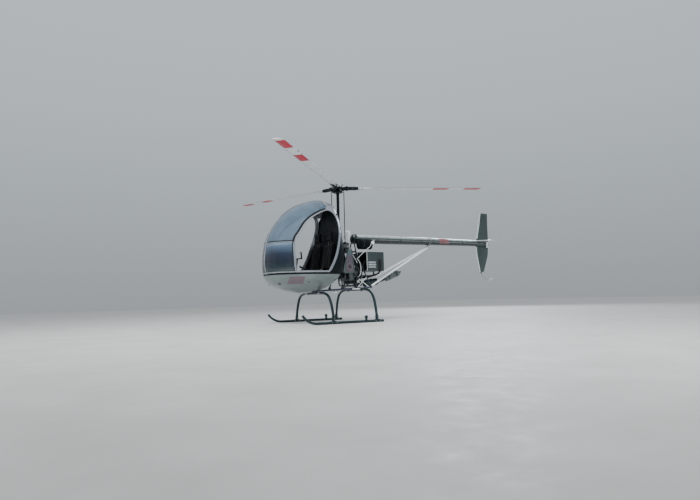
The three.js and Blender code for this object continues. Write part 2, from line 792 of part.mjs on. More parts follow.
function makeBeltGuard() {
  const outline = [
    [102, 966],
    [96, 1050],
    [-14, 1410],
    [-28, 1452],
    [-58, 1468],
    [-90, 1450],
    [-102, 1410],
    [-150, 1050],
    [-148, 966],
    [-118, 940],
    [72, 940],
  ];
  const plate = sidePlate(outline, GUARD_BACK_Y, GUARD_FACE_Y);
  const pan = sidePlate(widened(outline, -13), GUARD_FACE_Y - 8, GUARD_FACE_Y + 20);
  const lowerBoss = rod([OUTPUT_X, GUARD_BACK_Y + 10, OUTPUT_Z], [OUTPUT_X, GUARD_FACE_Y, OUTPUT_Z], 46, 16);
  const pulley = (y) => [UPPER_PULLEY_X, y, UPPER_PULLEY_Z];
  const upperBoss = rod(pulley(345), pulley(GUARD_FACE_Y + 6), 20, 14);
  const shaft = rod(pulley(95 + GAP), pulley(345), 26, 10);
  return union([plate.subtract(pan), lowerBoss, upperBoss, shaft]).subtract(grownFrame);
}

// Radiator core at the back of an open-fronted shroud, with a hose down to the engine.
function makeRadiator() {
  const [low, high] = [RADIATOR_LOW, RADIATOR_HIGH];
  const wall = RADIATOR_WALL;
  const inside = block(
    [low[0] + RADIATOR_CORE, low[1] + wall, low[2] + wall],
    [high[0] + 50, high[1] - wall, high[2] - wall],
  );
  const box = block(low, high).subtract(inside);
  const brackets = SIDES.flatMap(([, side]) => [
    rod([-500, side * 250, 1000], [-464, side * 206, 1002], 10, 8),
    rod([-500, side * 250, 1374], [-341, side * 132, 1374], 10, 8),
  ]);
  const behindEngine = CRANK_X - CYLINDER_REACH - GAP;
  const feedHose = bentTube([
    [-800, 285, 1240],
    [-800, 328, 1215],
    [-800, 330, 1100],
    [-792, 324, 990],
    [-750, 285, 925],
    [-650, 215, 890],
    [-540, 150, 885],
    [behindEngine + 20, 120, 892],
  ], 19, 8, 18);
  const returnHose = bentTube([
    [-880, -80, 1000],
    [-880, -80, 925],
    [-790, -110, 880],
    [-620, -140, 865],
    [behindEngine + 20, -108, 882],
  ], 19, 8, 12);
  const hoses = feedHose.add(returnHose).subtract(frontOf(behindEngine));
  return union([box, ...brackets, hoses]).subtract(grownFrame);
}

function makeDrum() {
  const parts = [rod([DRUM_FRONT_X, DRUM_Y, DRUM_Z], [DRUM_REAR_X, DRUM_Y, DRUM_Z], DRUM_RADIUS - 5, 16)];
  for (const share of [0.02, 0.34, 0.64, 0.94]) {
    const x = DRUM_FRONT_X + share * (DRUM_REAR_X - DRUM_FRONT_X);
    parts.push(rod([x, DRUM_Y, DRUM_Z], [x - 12, DRUM_Y, DRUM_Z], DRUM_RADIUS, 16));
  }
  const fromDrum = (reach) => [DRUM_FILLER_X, DRUM_Y + reach, DRUM_Z + 0.18 * reach];
  parts.push(rod(fromDrum(90), fromDrum(130), 26, 12));
  parts.push(rod(fromDrum(124), fromDrum(148), 34, 12));
  for (const x of [-430, -580]) {
    parts.push(block([x - 16, 60, DRUM_Z + 30], [x + 16, DRUM_Y - 60, DRUM_Z + 60]));
  }
  return union(parts).subtract(grownBoom).subtract(grownFrame);
}

// Four headers under the cylinders run together into the pipe to the muffler, with a wide chamber on its way.
const COLLECTOR = [-430, 60, 715];

function exhaustTube(grow) {
  return bentTube([
    [COLLECTOR[0] + grow, COLLECTOR[1], COLLECTOR[2]],
    [-560, 64, 718],
    [-800, 85, 750],
    [-960, 98, 790],
    [-1085 - grow, 100, 832 + grow / 2],
  ], EXHAUST_RADIUS + grow, 10, 14);
}

function makeExhaust() {
  const portZ = CRANK_Z - HEAD_HALF_Z - GAP;
  const [x, y, z] = COLLECTOR;
  const parts = [
    exhaustTube(0),
    rod([x + 30, y, z - 1], COLLECTOR, 40, 10, 30),
    rod([-510, 62, 726], [-880, 92, 778], 48, 14),
    rod([-540, 64, 730], [-850, 90, 774], 74, 18),
  ];
  for (const way of [1, -1]) {
    for (const [, side] of SIDES) {
      const portX = CRANK_X + way * (CYLINDER_REACH - 24);
      parts.push(bentTube([
        [portX, side * CYLINDER_Y, portZ],
        [portX, side * CYLINDER_Y, CRANK_Z - 120],
        [portX + (way > 0 ? -60 : 10), side * CYLINDER_Y * 1.5, 700],
        [-360, side * 70 + 30, 692],
        [x + 20, y, z],
      ], 17, 6, 8));
    }
  }
  return union(parts).subtract(above(portZ).intersect(frontOf(-700))).subtract(grownFrame);
}

function makeMuffler() {
  const body = rod([-1060, 100, 824], [-1416, 100, 962], 66, 16);
  const tail = rod([-1400, 100, 956], [-1462, 100, 980], 24, 10);
  return union([body, tail]).subtract(exhaustTube(2 * GAP));
}

// Main rotor

function makeMast() {
  return rod([0, 0, MAST_FOOT_Z], [0, 0, HUB_Z - HUB_HALF_DEPTH - GAP], MAST_RADIUS, 16);
}

function makeLowerSwash() {
  const ring = rod([0, 0, SWASH_Z - 22], [0, 0, SWASH_Z], 92, 18);
  const bore = rod([0, 0, SWASH_Z - 60], [0, 0, SWASH_Z + 60], MAST_RADIUS + 6, 16);
  const parts = [ring];
  for (const azimuth of CONTROL_AZIMUTHS) {
    const [x, y] = [CONTROL_REACH * Math.cos(azimuth * DEGREE), CONTROL_REACH * Math.sin(azimuth * DEGREE)];
    parts.push(rod([0.5 * x, 0.5 * y, SWASH_Z - 12], [x, y, SWASH_Z - 12], 11, 8));
    parts.push(rod([x, y, CONTROL_FOOT_Z + GAP], [x, y, SWASH_Z - 3], 10, 8));
  }
  return union(parts).subtract(bore);
}

function makeUpperSwash() {
  const ring = rod([0, 0, SWASH_Z + 6], [0, 0, SWASH_Z + 24], 96, 18);
  const bore = rod([0, 0, SWASH_Z - 60], [0, 0, SWASH_Z + 60], MAST_RADIUS + GAP, 16);
  const links = BLADE_AZIMUTHS.map((azimuth) => {
    const from = (azimuth + 38) * DEGREE;
    const foot = [80 * Math.cos(from), 80 * Math.sin(from), SWASH_Z + 15];
    const top = [150 * Math.cos(from), 150 * Math.sin(from), SWASH_Z + 22];
    return rod(foot, top, 9, 8);
  });
  return union([ring, ...links]).subtract(bore);
}

function makeHub() {
  const centre = rod([0, 0, HUB_Z - HUB_HALF_DEPTH], [0, 0, HUB_Z + 48], 68, 16);
  const cap = rod([0, 0, HUB_Z + 40], [0, 0, HUB_Z + 86], 30, 12, 18);
  const arms = BLADE_AZIMUTHS.map((azimuth) => {
    const out = azimuth * DEGREE;
    const reach = (radius, height, aside = 0) => [
      radius * Math.cos(out) - aside * Math.sin(out),
      radius * Math.sin(out) + aside * Math.cos(out),
      HUB_Z + height,
    ];
    const lift = (radius) => radius * Math.tan(CONING);
    const arm = rod(reach(0, 0), reach(200, lift(200)), 34, 8);
    const grip = rod(reach(150, lift(150)), reach(BLADE_ROOT - GAP, lift(BLADE_ROOT)), 43, 8, 33);
    const collar = rod(reach(190, lift(190)), reach(214, lift(214)), 54, 10);
    const horn = (azimuth + 38) * DEGREE;
    const hornTip = [150 * Math.cos(horn), 150 * Math.sin(horn), SWASH_Z + 22];
    const hornFoot = rod(hornTip, [hornTip[0], hornTip[1], SWASH_Z + 52], 11, 6);
    const hornArm = rod(reach(200, -12), [hornTip[0], hornTip[1], HUB_Z - 26], 13, 8);
    const damper = rod(reach(52, 26, 36), reach(330, 22, 12), 12, 6);
    const stopRod = rod(reach(70, 20), reach(128, 112), 11, 6, 6);
    return union([arm, grip, collar, hornArm, hornFoot, damper, stopRod]);
  });
  return union([centre, cap, ...arms]).intersect(above(SWASH_Z + 31 + GAP));
}

// A blade lies along +X with its leading edge towards the way the rotor turns.
function makeBlade(root, tip, chord, thickness, leadSide) {
  return loft([root, tip].map((x) => (
    wingRing(0.27 * chord, chord, thickness, (y, z) => point(x, leadSide * y, z))
  )));
}

// Assembly

const helicopter = new THREE.Group();

function addMesh(name, solid, finish, parent = helicopter) {
  const material = new THREE.MeshStandardMaterial(FINISHES[finish]);
  const mesh = new THREE.Mesh(geometryOf(solid), material);
  mesh.name = name;
  parent.add(mesh);
  return mesh;
}

addMesh('belly_shell', makeBelly(grownFrame), 'greyPaint');
addMesh('canopy_frame', makeCanopyFrame(), 'silverPaint');
addMesh('rear_bulkhead', makeRearBulkhead(grownFrame), 'darkPaint');
addMesh('cabin_floor', makeFloor(), 'blackPlastic');
addMesh('seat_bench', makeBench(), 'blackPlastic');
addMesh('instrument_console', makeConsole(), 'blackPlastic');
addMesh('cyclic_stick', makeCyclic(), 'blackPlastic');
addMesh('collective_lever', makeCollective(), 'blackPlastic');
addMesh('rudder_pedals', makePedals(), 'steel');
for (const [name, side] of SIDES) {
  addMesh(`door_frame_${name}`, makeDoorFrame(side), 'silverPaint');
  addMesh(`windshield_${name}`, makeWindow(side, true), 'tintedGlass');
  addMesh(`chin_window_${name}`, makeWindow(side, false), 'tintedGlass');
  addMesh(`seat_${name}`, makeSeat(side), 'cloth');
  addMesh(`skid_${name}`, makeSkid(side), 'tealBlack');
  addMesh(`boom_strut_${name}`, makeStrut(side), 'steel');
}

const grownSkids = union(SIDES.map(([, side]) => skidTube(side, SKID_RADIUS + GAP)));
CROSS_TUBES.forEach(([name], i) => {
  addMesh(`cross_tube_${name}`, crossTubes[i].subtract(grownSkids), 'tealBlack');
});

addMesh('frame_tubes', makeFrame(), 'frameTube');
addMesh('main_gearbox', makeGearbox(), 'castAlloy');
addMesh('engine_block', makeEngine(), 'castAlloy');
addMesh('belt_guard', makeBeltGuard(), 'greyPaint');
addMesh('radiator', makeRadiator(), 'greyPaint');
addMesh('drum_tank', makeDrum(), 'darkPaint');
addMesh('exhaust_pipe', makeExhaust(), 'steel');
addMesh('muffler', makeMuffler(), 'steel');

addMesh('tail_boom', makeBoom(), 'silverPaint');
addMesh('stabiliser', makeStabiliser(), 'greyPaint');
const finNotch = grownBoom.add(gearboxBody(GAP));
addMesh('fin_upper', makeFin(FIN_UPPER).subtract(finNotch), 'greyPaint');
addMesh('fin_lower', makeFin(FIN_LOWER).subtract(finNotch), 'greyPaint');
addMesh('tail_gearbox', gearboxBody(0), 'white');
addMesh('tail_skid', makeTailSkid(), 'steel');

addMesh('lower_swashplate', makeLowerSwash(), 'darkPaint');
addMesh('upper_swashplate', makeUpperSwash(), 'darkPaint');
addMesh('rotor_mast', makeMast(), 'steel');
addMesh('rotor_hub', makeHub(), 'darkPaint');
BLADE_AZIMUTHS.forEach((azimuth, i) => {
  const arm = new THREE.Group();
  arm.position.set(0, 0, HUB_Z);
  arm.rotation.set(0, -CONING, azimuth * DEGREE, 'ZYX');
  const blade = makeBlade(BLADE_ROOT + GAP, ROTOR_RADIUS, BLADE_CHORD, BLADE_THICKNESS, -1);
  const mesh = addMesh(`main_blade_${i + 1}`, blade, 'white', arm);
  mesh.rotation.x = -BLADE_PITCH;
  helicopter.add(arm);
});

const tailRotor = new THREE.Group();
tailRotor.position.set(TAIL_ROTOR_X, TAIL_ROTOR_Y, TAIL_ROTOR_Z);
tailRotor.rotation.y = TAIL_BLADE_LEAN;
const tailHub = union([
  rod([0, TAIL_SNOUT_Y - TAIL_ROTOR_Y - GAP, 0], [0, -30, 0], 22, 12),
  rod([0, 0, -95], [0, 0, 95], 20, 10),
]);
addMesh('tail_rotor_hub', tailHub, 'darkPaint', tailRotor);
[1, -1].forEach((way, i) => {
  const blade = loft([95 + GAP, TAIL_ROTOR_RADIUS].map((reach) => (
    wingRing(0.3 * TAIL_BLADE_CHORD, TAIL_BLADE_CHORD, 13, (x, y) => point(way * x, y, way * reach))
  )));
  addMesh(`tail_blade_${i + 1}`, blade, 'white', tailRotor);
});
helicopter.add(tailRotor);

// The origin is the middle of the footprint, on the floor.
const box = new THREE.Box3().setFromObject(helicopter);
const middle = box.getCenter(new THREE.Vector3());
helicopter.position.set(-middle.x, -middle.y, -box.min.z);

export default helicopter;
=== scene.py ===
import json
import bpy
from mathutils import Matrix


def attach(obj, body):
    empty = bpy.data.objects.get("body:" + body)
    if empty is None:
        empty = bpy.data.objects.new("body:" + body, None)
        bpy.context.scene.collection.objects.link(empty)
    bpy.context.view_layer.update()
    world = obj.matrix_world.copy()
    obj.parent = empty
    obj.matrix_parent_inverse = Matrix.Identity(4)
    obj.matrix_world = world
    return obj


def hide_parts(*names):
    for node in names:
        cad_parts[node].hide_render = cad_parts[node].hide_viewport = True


bl_info = {
  "name": "Light Helicopter",
  "version": (1, 0, 0),
  "blender": (4, 5, 0),
  "location": "View3D > Sidebar > Helicopter",
  "description": "Dresses a packed two-seat helicopter with its paint, glass, cloth and fine pieces",
  "category": "Object",
}

from math import copysign, cos, pi, radians, sin, tan

import bmesh
import bpy
import numpy as np

from mathutils import Matrix, Vector
from mathutils.bvhtree import BVHTree

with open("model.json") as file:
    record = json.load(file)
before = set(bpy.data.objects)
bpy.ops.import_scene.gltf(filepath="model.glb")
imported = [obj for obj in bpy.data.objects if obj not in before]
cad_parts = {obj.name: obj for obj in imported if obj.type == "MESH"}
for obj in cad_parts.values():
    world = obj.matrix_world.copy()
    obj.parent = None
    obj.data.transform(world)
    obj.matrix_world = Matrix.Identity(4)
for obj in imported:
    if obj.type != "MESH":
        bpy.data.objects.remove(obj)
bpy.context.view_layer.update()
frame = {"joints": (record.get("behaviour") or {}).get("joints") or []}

UP = (0, 0, 1)
PORT = (0, 1, 0)
STARBOARD = (0, -1, 0)
AHEAD = (1, 0, 0)
AFT = (-1, 0, 0)

JOINTS = {joint["name"]: Vector(joint["pos_m"]) for joint in frame["joints"]}
HUB = JOINTS["main_rotor_spin"]
TAIL_HUB = JOINTS["tail_rotor_spin"]
HUB_HEIGHT = 2.741
DATUM = HUB - Vector((0, 0, HUB_HEIGHT))
AIRFRAME, MAIN_ROTOR, TAIL_ROTOR = "airframe", "main_rotor", "tail_rotor"

# Cabin, an egg-shaped shell. The columns are x, lowest z, highest z and half width.
EGG = np.array([(.215, .86, 2.38, .59), (.33, .715, 2.43, .662), (.55, .6, 2.44, .7),
  (.8, .555, 2.375, .705), (1.05, .565, 2.27, .665), (1.3, .62, 2.07, .575), (1.5, .72, 1.8, .43),
  (1.6, .86, 1.57, .27), (1.645, 1.06, 1.32, .09)])
WAIST = 1.15
UPPER_ROUNDNESS, LOWER_ROUNDNESS = 2.0, 2.5
SHELL_WALL, GLASS_WALL = .02, .008
SILL, BAR, BAR_HALF, STRIP_HALF = .94, 1.535, .016, .038
BULKHEAD_X = .24
DOOR_RIM = .052
# The door opening seen from the side. The bottom corners stay sharp and the rest is one smooth curve.
DOOR_FOOT = (1.243, .972)
DOOR_CURVE = ((1.228, 1.545), (1.12, 1.715), (.995, 1.885), (.871, 1.993), (.685, 2.103), (.56, 2.158),
  (.446, 2.184), (.347, 2.116), (.303, 1.97), (.313, 1.736), (.377, 1.49), (.468, 1.24), (.61, .972))
ROTOR_RADIUS, BLADE_ROOT, BLADE_CHORD = 3.42, .45, .17
BLADE_AZIMUTHS = (45.8, 165.8, 285.8)
CONING, BLADE_PITCH = radians(1.75), radians(3)
# Red bands on each blade, from and to, measured from the mast's axis.
RED_BANDS = ((2.178, 2.563), (2.948, 3.333))

ORIGIN = Vector((0, 0, 0))


def at(x, y, z):
  """A place in the frame, given from the mast's axis and the datum line, or from the origin set there."""
  return DATUM + ORIGIN + Vector((x, y, z))


def measure_from(x=0, y=0, z=0):
  """Sets the origin of the places that follow."""
  ORIGIN[:] = (x, y, z)


def deselect():
  bpy.ops.object.select_all(action="DESELECT")


def choose(*pieces):
  deselect()
  for piece in pieces:
    piece.select_set(True)
  bpy.context.view_layer.objects.active = pieces[0]


def settle(piece):
  """Puts the object's place, turn and scale into its mesh."""
  choose(piece)
  bpy.ops.object.transform_apply(location=True, rotation=True, scale=True)
  return piece


def modify(piece, kind, **settings):
  choose(piece)
  modifier = piece.modifiers.new(kind.title(), kind)
  for key, value in settings.items():
    setattr(modifier, key, value)
  bpy.ops.object.modifier_apply(modifier=modifier.name)
  return piece


def smooth(piece, angle=35):
  choose(piece)
  bpy.ops.object.shade_smooth_by_angle(angle=radians(angle))
  return piece


def soften(piece, width, segments=2, angle=35):
  modify(piece, "BEVEL", width=width, segments=segments, limit_method="ANGLE", angle_limit=radians(angle),
    miter_outer="MITER_ARC")
  return smooth(piece)


def outward(piece):
  """Merges doubles and turns every face outwards."""
  choose(piece)
  bpy.ops.object.mode_set(mode="EDIT")
  bpy.ops.mesh.select_all(action="SELECT")
  bpy.ops.mesh.remove_doubles(threshold=2e-05)
  bpy.ops.mesh.normals_make_consistent(inside=False)
  bpy.ops.object.mode_set(mode="OBJECT")
  return piece


STOCK = {}


def from_stock(name, model, place, turn, size):
  """A copy of a small part that is modelled once, at its place, turn and size."""
  if name not in STOCK:
    first = model()
    STOCK[name] = first.data
    bpy.data.objects.remove(first)
  mesh = STOCK[name].copy()
  mesh.transform(Matrix.Translation(Vector(place)) @ turn @ Matrix.Diagonal((*size, 1)))
  piece = bpy.data.objects.new(name, mesh)
  bpy.context.scene.collection.objects.link(piece)
  return piece


def mesh_piece(name, points, faces, edges=()):
  mesh = bpy.data.meshes.new(name)
  mesh.from_pydata([tuple(place) for place in points], list(edges), list(faces))
  piece = bpy.data.objects.new(name, mesh)
  bpy.context.scene.collection.objects.link(piece)
  return piece


def box(low, high, rounding=.004, segments=2):
  deselect()
  low, high = Vector(low), Vector(high)
  bpy.ops.mesh.primitive_cube_add(size=1, location=(low + high)/2, scale=high - low)
  piece = settle(bpy.context.object)
  if rounding:
    soften(piece, rounding, segments)
  return piece


def rod(start, end, radius, end_radius=None, sides=24, rounding=0.0):
  start, end = Vector(start), Vector(end)
  deselect()
  bpy.ops.mesh.primitive_cone_add(vertices=sides, radius1=radius,
    radius2=radius if end_radius is None else end_radius, depth=(end - start).length,
    location=(start + end)/2, rotation=(end - start).to_track_quat("Z", "Y").to_euler())
  piece = settle(bpy.context.object)
  if rounding:
    soften(piece, rounding)
  return smooth(piece)


def ball(centre, radius, sides=24, scale=(1, 1, 1)):
  deselect()
  bpy.ops.mesh.primitive_uv_sphere_add(segments=sides, ring_count=sides // 2, radius=radius,
    location=centre, scale=scale)
  return smooth(settle(bpy.context.object), 60)


def ring(centre, axis, radius, thickness, sides=40, minor=12):
  deselect()
  bpy.ops.mesh.primitive_torus_add(location=centre,
    rotation=Vector(axis).to_track_quat("Z", "Y").to_euler(), major_segments=sides, minor_segments=minor,
    major_radius=radius, minor_radius=thickness)
  return smooth(settle(bpy.context.object), 60)


def between(a, b, start, end, time):
  return a*((end - time)/(end - start)) + b*((time - start)/(end - start))


def flow(points, steps=8):
  """A smooth line through the points, as centripetal Catmull-Rom pieces."""
  knots = [Vector(place) for place in points]
  knots = [2*knots[0] - knots[1], *knots, 2*knots[-1] - knots[-2]]
  line = []
  for a, b, c, d in zip(knots, knots[1:], knots[2:], knots[3:]):
    t1 = (b - a).length**.5
    t2 = t1 + (c - b).length**.5
    t3 = t2 + (d - c).length**.5
    for i in range(steps):
      time = t1 + (t2 - t1)*i/steps
      ab, bc = between(a, b, 0, t1, time), between(b, c, t1, t2, time)
      cd = between(c, d, t2, t3, time)
      line.append(between(between(ab, bc, 0, t2, time), between(bc, cd, t1, t3, time), t1, t2, time))
  line.append(knots[-2])
  return line


def tube(points, radius, resolution=5, closed=False):
  """A round tube along a line of places, closed at its ends."""
  curve = bpy.data.curves.new("tube", "CURVE")
  curve.dimensions = "3D"
  curve.bevel_depth = radius
  curve.bevel_resolution = resolution
  curve.use_fill_caps = True
  spline = curve.splines.new("POLY")
  spline.points.add(len(points) - 1)
  for knot, place in zip(spline.points, points):
    knot.co = (*place, 1)
  spline.use_cyclic_u = closed
  piece = bpy.data.objects.new("tube", curve)
  bpy.context.scene.collection.objects.link(piece)
  choose(piece)
  bpy.ops.object.convert(target="MESH")
  return smooth(outward(bpy.context.object), 50)


def lathe(profile, origin, axis, sides=40):
  """A round piece from (distance from the axis, distance along it) pairs."""
  points = [(radius, 0, along) for radius, along in profile]
  piece = mesh_piece("lathe", points, [], [(i, i + 1) for i in range(len(points) - 1)])
  modify(piece, "SCREW", axis="Z", steps=sides, render_steps=sides, use_merge_vertices=True,
    merge_threshold=.0001)
  turn = Vector(axis).to_track_quat("Z", "Y").to_matrix().to_4x4()
  piece.data.transform(Matrix.Translation(Vector(origin)) @ turn)
  return smooth(outward(piece), 30)


def slab(outline, low, high, rounding=.003, segments=2):
  """A side view outline of x and z pairs, made thick from low y to high y."""
  points = [at(x, low, z) for x, z in outline]
  piece = mesh_piece("slab", points, [range(len(points))])
  choose(piece)
  bpy.ops.object.mode_set(mode="EDIT")
  bpy.ops.mesh.select_all(action="SELECT")
  bpy.ops.mesh.extrude_region_move(TRANSFORM_OT_translate={"value": (0, high - low, 0)})
  bpy.ops.object.mode_set(mode="OBJECT")
  outward(piece)
  return soften(piece, rounding, segments) if rounding else piece


def loft(rings, closed_ends=True):
  """A closed body through rings of places that all have the same count."""
  count = len(rings[0])
  points = [place for one in rings for place in one]
  faces = [(r*count + i, r*count + (i + 1) % count, (r + 1)*count + (i + 1) % count,
    (r + 1)*count + i) for r in range(len(rings) - 1) for i in range(count)]
  if closed_ends:
    faces.append(tuple(reversed(range(count))))
    faces.append(tuple(((len(rings) - 1)*count + i for i in range(count))))
  return outward(mesh_piece("loft", points, faces))


def cut(piece, cutter, operation="DIFFERENCE", keep=False):
  modify(piece, "BOOLEAN", object=cutter, operation=operation, solver="EXACT", use_self=False)
  if not keep:
    bpy.data.objects.remove(cutter)
  return piece


def copy_of(piece, turn=None):
  """A copy with its own mesh, turned or mirrored by a matrix."""
  twin = piece.copy()
  twin.data = piece.data.copy()
  bpy.context.scene.collection.objects.link(twin)
  if turn is not None:
    twin.data.transform(turn)
    if turn.determinant() < 0:
      twin.data.flip_normals()
  return twin


def mirrored(piece):
  """The same piece on the other side of the machine's middle plane."""
  return copy_of(piece, Matrix.Translation(DATUM) @ Matrix.Scale(-1, 4, PORT) @ Matrix.Translation(-DATUM))


def coat(piece, finish):
  piece.data.materials.clear()
  piece.data.materials.append(FINISHES[finish])
  return piece


def join(name, *parts):
  """Makes one piece of several, each part with its own material."""
  choose(*parts)
  if len(parts) > 1:
    bpy.ops.object.join()
  piece = bpy.context.object
  piece.name = name
  piece.data.name = name
  return piece


def press_flat(piece, height):
  """Flattens what would reach below the ground, where the piece rests on it."""
  for vertex in piece.data.vertices:
    vertex.co.z = max(vertex.co.z, height)
  return piece


KIT = []


def keep(part):
  """Makers that take a finish keep their part themselves."""
  KIT.append(part)
  return part


def gather(name, *parts):
  piece = join(name, *parts, *KIT)
  KIT.clear()
  return piece


def deliver(name, slot, *parts, body=AIRFRAME, node=True):
  """Gathers a piece, hands it to its body and lets it stand for the node of its name."""
  piece = gather(name, *parts)
  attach(piece, body)
  if node:
    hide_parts(name)
  return piece


def deliver_pair(name, slot, *parts):
  """Delivers a piece on the port side and its mirror image on the starboard side."""
  port = gather(f"{name}_port", *parts)
  starboard = mirrored(port)
  return (deliver(f"{name}_port", slot, port), deliver(f"{name}_starboard", slot, starboard))


def rgba(code):
  """An sRGB hex colour as the linear colour that shaders take."""
  parts = [int(code[i:i + 2], 16)/255 for i in (1, 3, 5)]
  return (*[p/12.92 if p <= .04045 else ((p + .055)/1.055)**2.4 for p in parts], 1.0)


def add(tree, kind, inputs=None, stops=None, **settings):
  """Adds one shader node. An input is a value, or another node's output to link."""
  node = tree.nodes.new("ShaderNode" + kind)
  for key, value in settings.items():
    setattr(node, key, value)
  for key, value in (inputs or {}).items():
    if isinstance(value, bpy.types.NodeSocket):
      tree.links.new(value, node.inputs[key])
    else:
      node.inputs[key].default_value = value
  if stops:
    marks = node.color_ramp.elements
    while len(marks) < len(stops):
      marks.new(.5)
    for mark, (position, code) in zip(marks, stops):
      mark.position = position
      if isinstance(code, str):
        mark.color = rgba(code)
      else:
        mark.color = (code, code, code, 1) if isinstance(code, float) else code
  return node


def surface(name, shader):
  """A material with one principled shader. Its bumps are a height and a depth in metres."""
  material = bpy.data.materials.new(name)
  material.use_nodes = True
  tree = material.node_tree
  tree.nodes.clear()
  place = add(tree, "TexCoord").outputs["Object"]
  inputs = shader(tree, place)
  height = inputs.pop("Height", None)
  if height is not None:
    depth = inputs.pop("Depth", .0002)
    inputs["Normal"] = add(tree, "Bump", {"Height": height, "Distance": depth, "Strength": 1.0}).outputs[0]
  principled = add(tree, "BsdfPrincipled", inputs)
  add(tree, "OutputMaterial", {"Surface": principled.outputs[0]})
  return material


def noise(tree, place, size, detail=3.0, rough=.5):
  """Soft spots about that many metres across."""
  return add(tree, "TexNoise", {"Vector": place, "Scale": .6/size, "Detail": detail,
    "Roughness": rough}).outputs["Fac"]


def by_height(tree, place, low, high, grades):
  """A colour that follows the height between two levels."""
  height = add(tree, "SeparateXYZ", {0: place}).outputs["Z"]
  share = add(tree, "MapRange", {0: height, 1: low, 2: high}).outputs[0]
  return add(tree, "ValToRGB", {"Fac": share}, grades).outputs[0]


def multiplied(tree, first, second):
  return add(tree, "Mix", {0: 1.0, 6: first, 7: second}, data_type="RGBA", blend_type="MULTIPLY").outputs[2]


def painted(name, light, dark, metallic, roughness, clear, speckle=.0016, orange_peel=4e-05, grades=None,
    shine=.5):
  """Sprayed two-pack paint: slow colour drift, fine grit of dust and faint orange peel."""
  def shader(tree, place):
    drift = add(tree, "ValToRGB", {"Fac": noise(tree, place, .35, 4)}, [(.3, dark), (.7, light)])
    grit = add(tree, "ValToRGB", {"Fac": noise(tree, place, speckle, 2)}, [(.35, .93), (.6, 1.0)])
    tone = multiplied(tree, drift.outputs[0], grit.outputs[0])
    # Where grades are given, a ramp over height multiplies the tone. It paints shade below and a highlight
    # on top.
    if grades:
      tone = multiplied(tree, tone, by_height(tree, place, *grades))
    rub = add(tree, "MapRange", {0: noise(tree, place, .09, 5, .65), 1: .3, 2: .75, 3: roughness*.8,
      4: roughness*1.35})
    return {"Base Color": tone, "Metallic": metallic, "Roughness": rub.outputs[0], "Coat Weight": clear,
      "Coat Roughness": .08, "Specular IOR Level": shine, "Height": noise(tree, place, .012, 2),
      "Depth": orange_peel}
  return surface(name, shader)


def bare_metal(name, light, dark, roughness, grain=(.004, .05, .05), metallic=1.0, depth=4e-05):
  """Drawn or brushed metal: fine lines along one axis, with dull patches where hands and weather reach."""
  def shader(tree, place):
    lines = add(tree, "Mapping", {"Vector": place, "Scale": tuple((.02/g for g in grain))})
    brush = noise(tree, lines.outputs[0], .02, 4, .6)
    patch = noise(tree, place, .12, 5, .6)
    tone = add(tree, "ValToRGB", {"Fac": patch}, [(.3, dark), (.68, light)])
    rub = add(tree, "MapRange", {0: brush, 1: .3, 2: .7, 3: roughness*.75, 4: roughness*1.4})
    return {"Base Color": tone.outputs[0], "Metallic": metallic, "Roughness": rub.outputs[0],
      "Height": brush, "Depth": depth}
  return surface(name, shader)


def cast(name, light, dark, roughness=.62, grain=.003, metallic=.85):
  """Sand-cast alloy: a fine pebbled skin, darker in patches with oil and dust."""
  def shader(tree, place):
    skin = noise(tree, place, grain, 3, .6)
    stain = noise(tree, place, .07, 5, .7)
    tone = add(tree, "ValToRGB", {"Fac": stain}, [(.34, dark), (.62, light)])
    return {"Base Color": tone.outputs[0], "Metallic": metallic, "Roughness": roughness, "Height": skin,
      "Depth": .0005}
  return surface(name, shader)


def moulded(name, light, dark, roughness, grain=.0022, depth=.00025, sheen=0.0):
  """Moulded plastic or rubber: an even leather-like grain and a little dust in it."""
  def shader(tree, place):
    cells = add(tree, "TexVoronoi", {"Vector": place, "Scale": 1/grain}, feature="SMOOTH_F1")
    tone = add(tree, "ValToRGB", {"Fac": noise(tree, place, .06, 4, .6)}, [(.3, dark), (.7, light)])
    return {"Base Color": tone.outputs[0], "Roughness": roughness, "Sheen Weight": sheen,
      "Height": cells.outputs["Distance"], "Depth": depth}
  return surface(name, shader)


def tinted_acrylic(name, light, dark, alpha, grades=None):
  """Blown acrylic: thin and glossy, with fine haze, rain marks in the gloss and, where grades are given, a
  painted reflection graded by height.
  """
  def shader(tree, place):
    haze = noise(tree, place, .16, 5, .6)
    tone = add(tree, "ValToRGB", {"Fac": haze}, [(.3, dark), (.7, light)]).outputs[0]
    # Where grades are given, the tint follows the height as a painted reflection.
    if grades:
      tone = multiplied(tree, tone, by_height(tree, place, DATUM.z + SILL, DATUM.z + BAR, grades))
    marks = add(tree, "MapRange", {0: noise(tree, place, .008, 4, .7), 1: .35, 2: .8, 3: .03, 4: .13})
    return {"Base Color": tone, "Roughness": marks.outputs[0], "IOR": 1.49, "Alpha": alpha,
      "Specular IOR Level": .75, "Coat Weight": .6, "Coat Roughness": .02}
  return surface(name, shader)


def woven(name, warp, weft, thread=.0026):
  """Woven seat cloth: two crossing threads, drawn coarser than life so that they show, with a soft nap."""
  def shader(tree, place):
    bands = [add(tree, "TexWave", {"Vector": place, "Scale": 1/thread/20, "Distortion": .4,
      "Detail": 1.0}, bands_direction=axis).outputs["Fac"] for axis in ("X", "Y", "Z")]
    cross = add(tree, "Math", {0: bands[0], 1: bands[1]}, operation="MAXIMUM").outputs[0]
    cross = add(tree, "Math", {0: cross, 1: bands[2]}, operation="MULTIPLY").outputs[0]
    fade = noise(tree, place, .11, 4)
    mix = add(tree, "Math", {0: cross, 1: fade}, operation="MULTIPLY").outputs[0]
    tone = add(tree, "ValToRGB", {"Fac": mix}, [(.1, warp), (.6, weft)])
    return {"Base Color": tone.outputs[0], "Roughness": .92, "Sheen Weight": .08, "Sheen Roughness": .5,
      "Specular IOR Level": .15, "Height": cross, "Depth": .0008}
  return surface(name, shader)


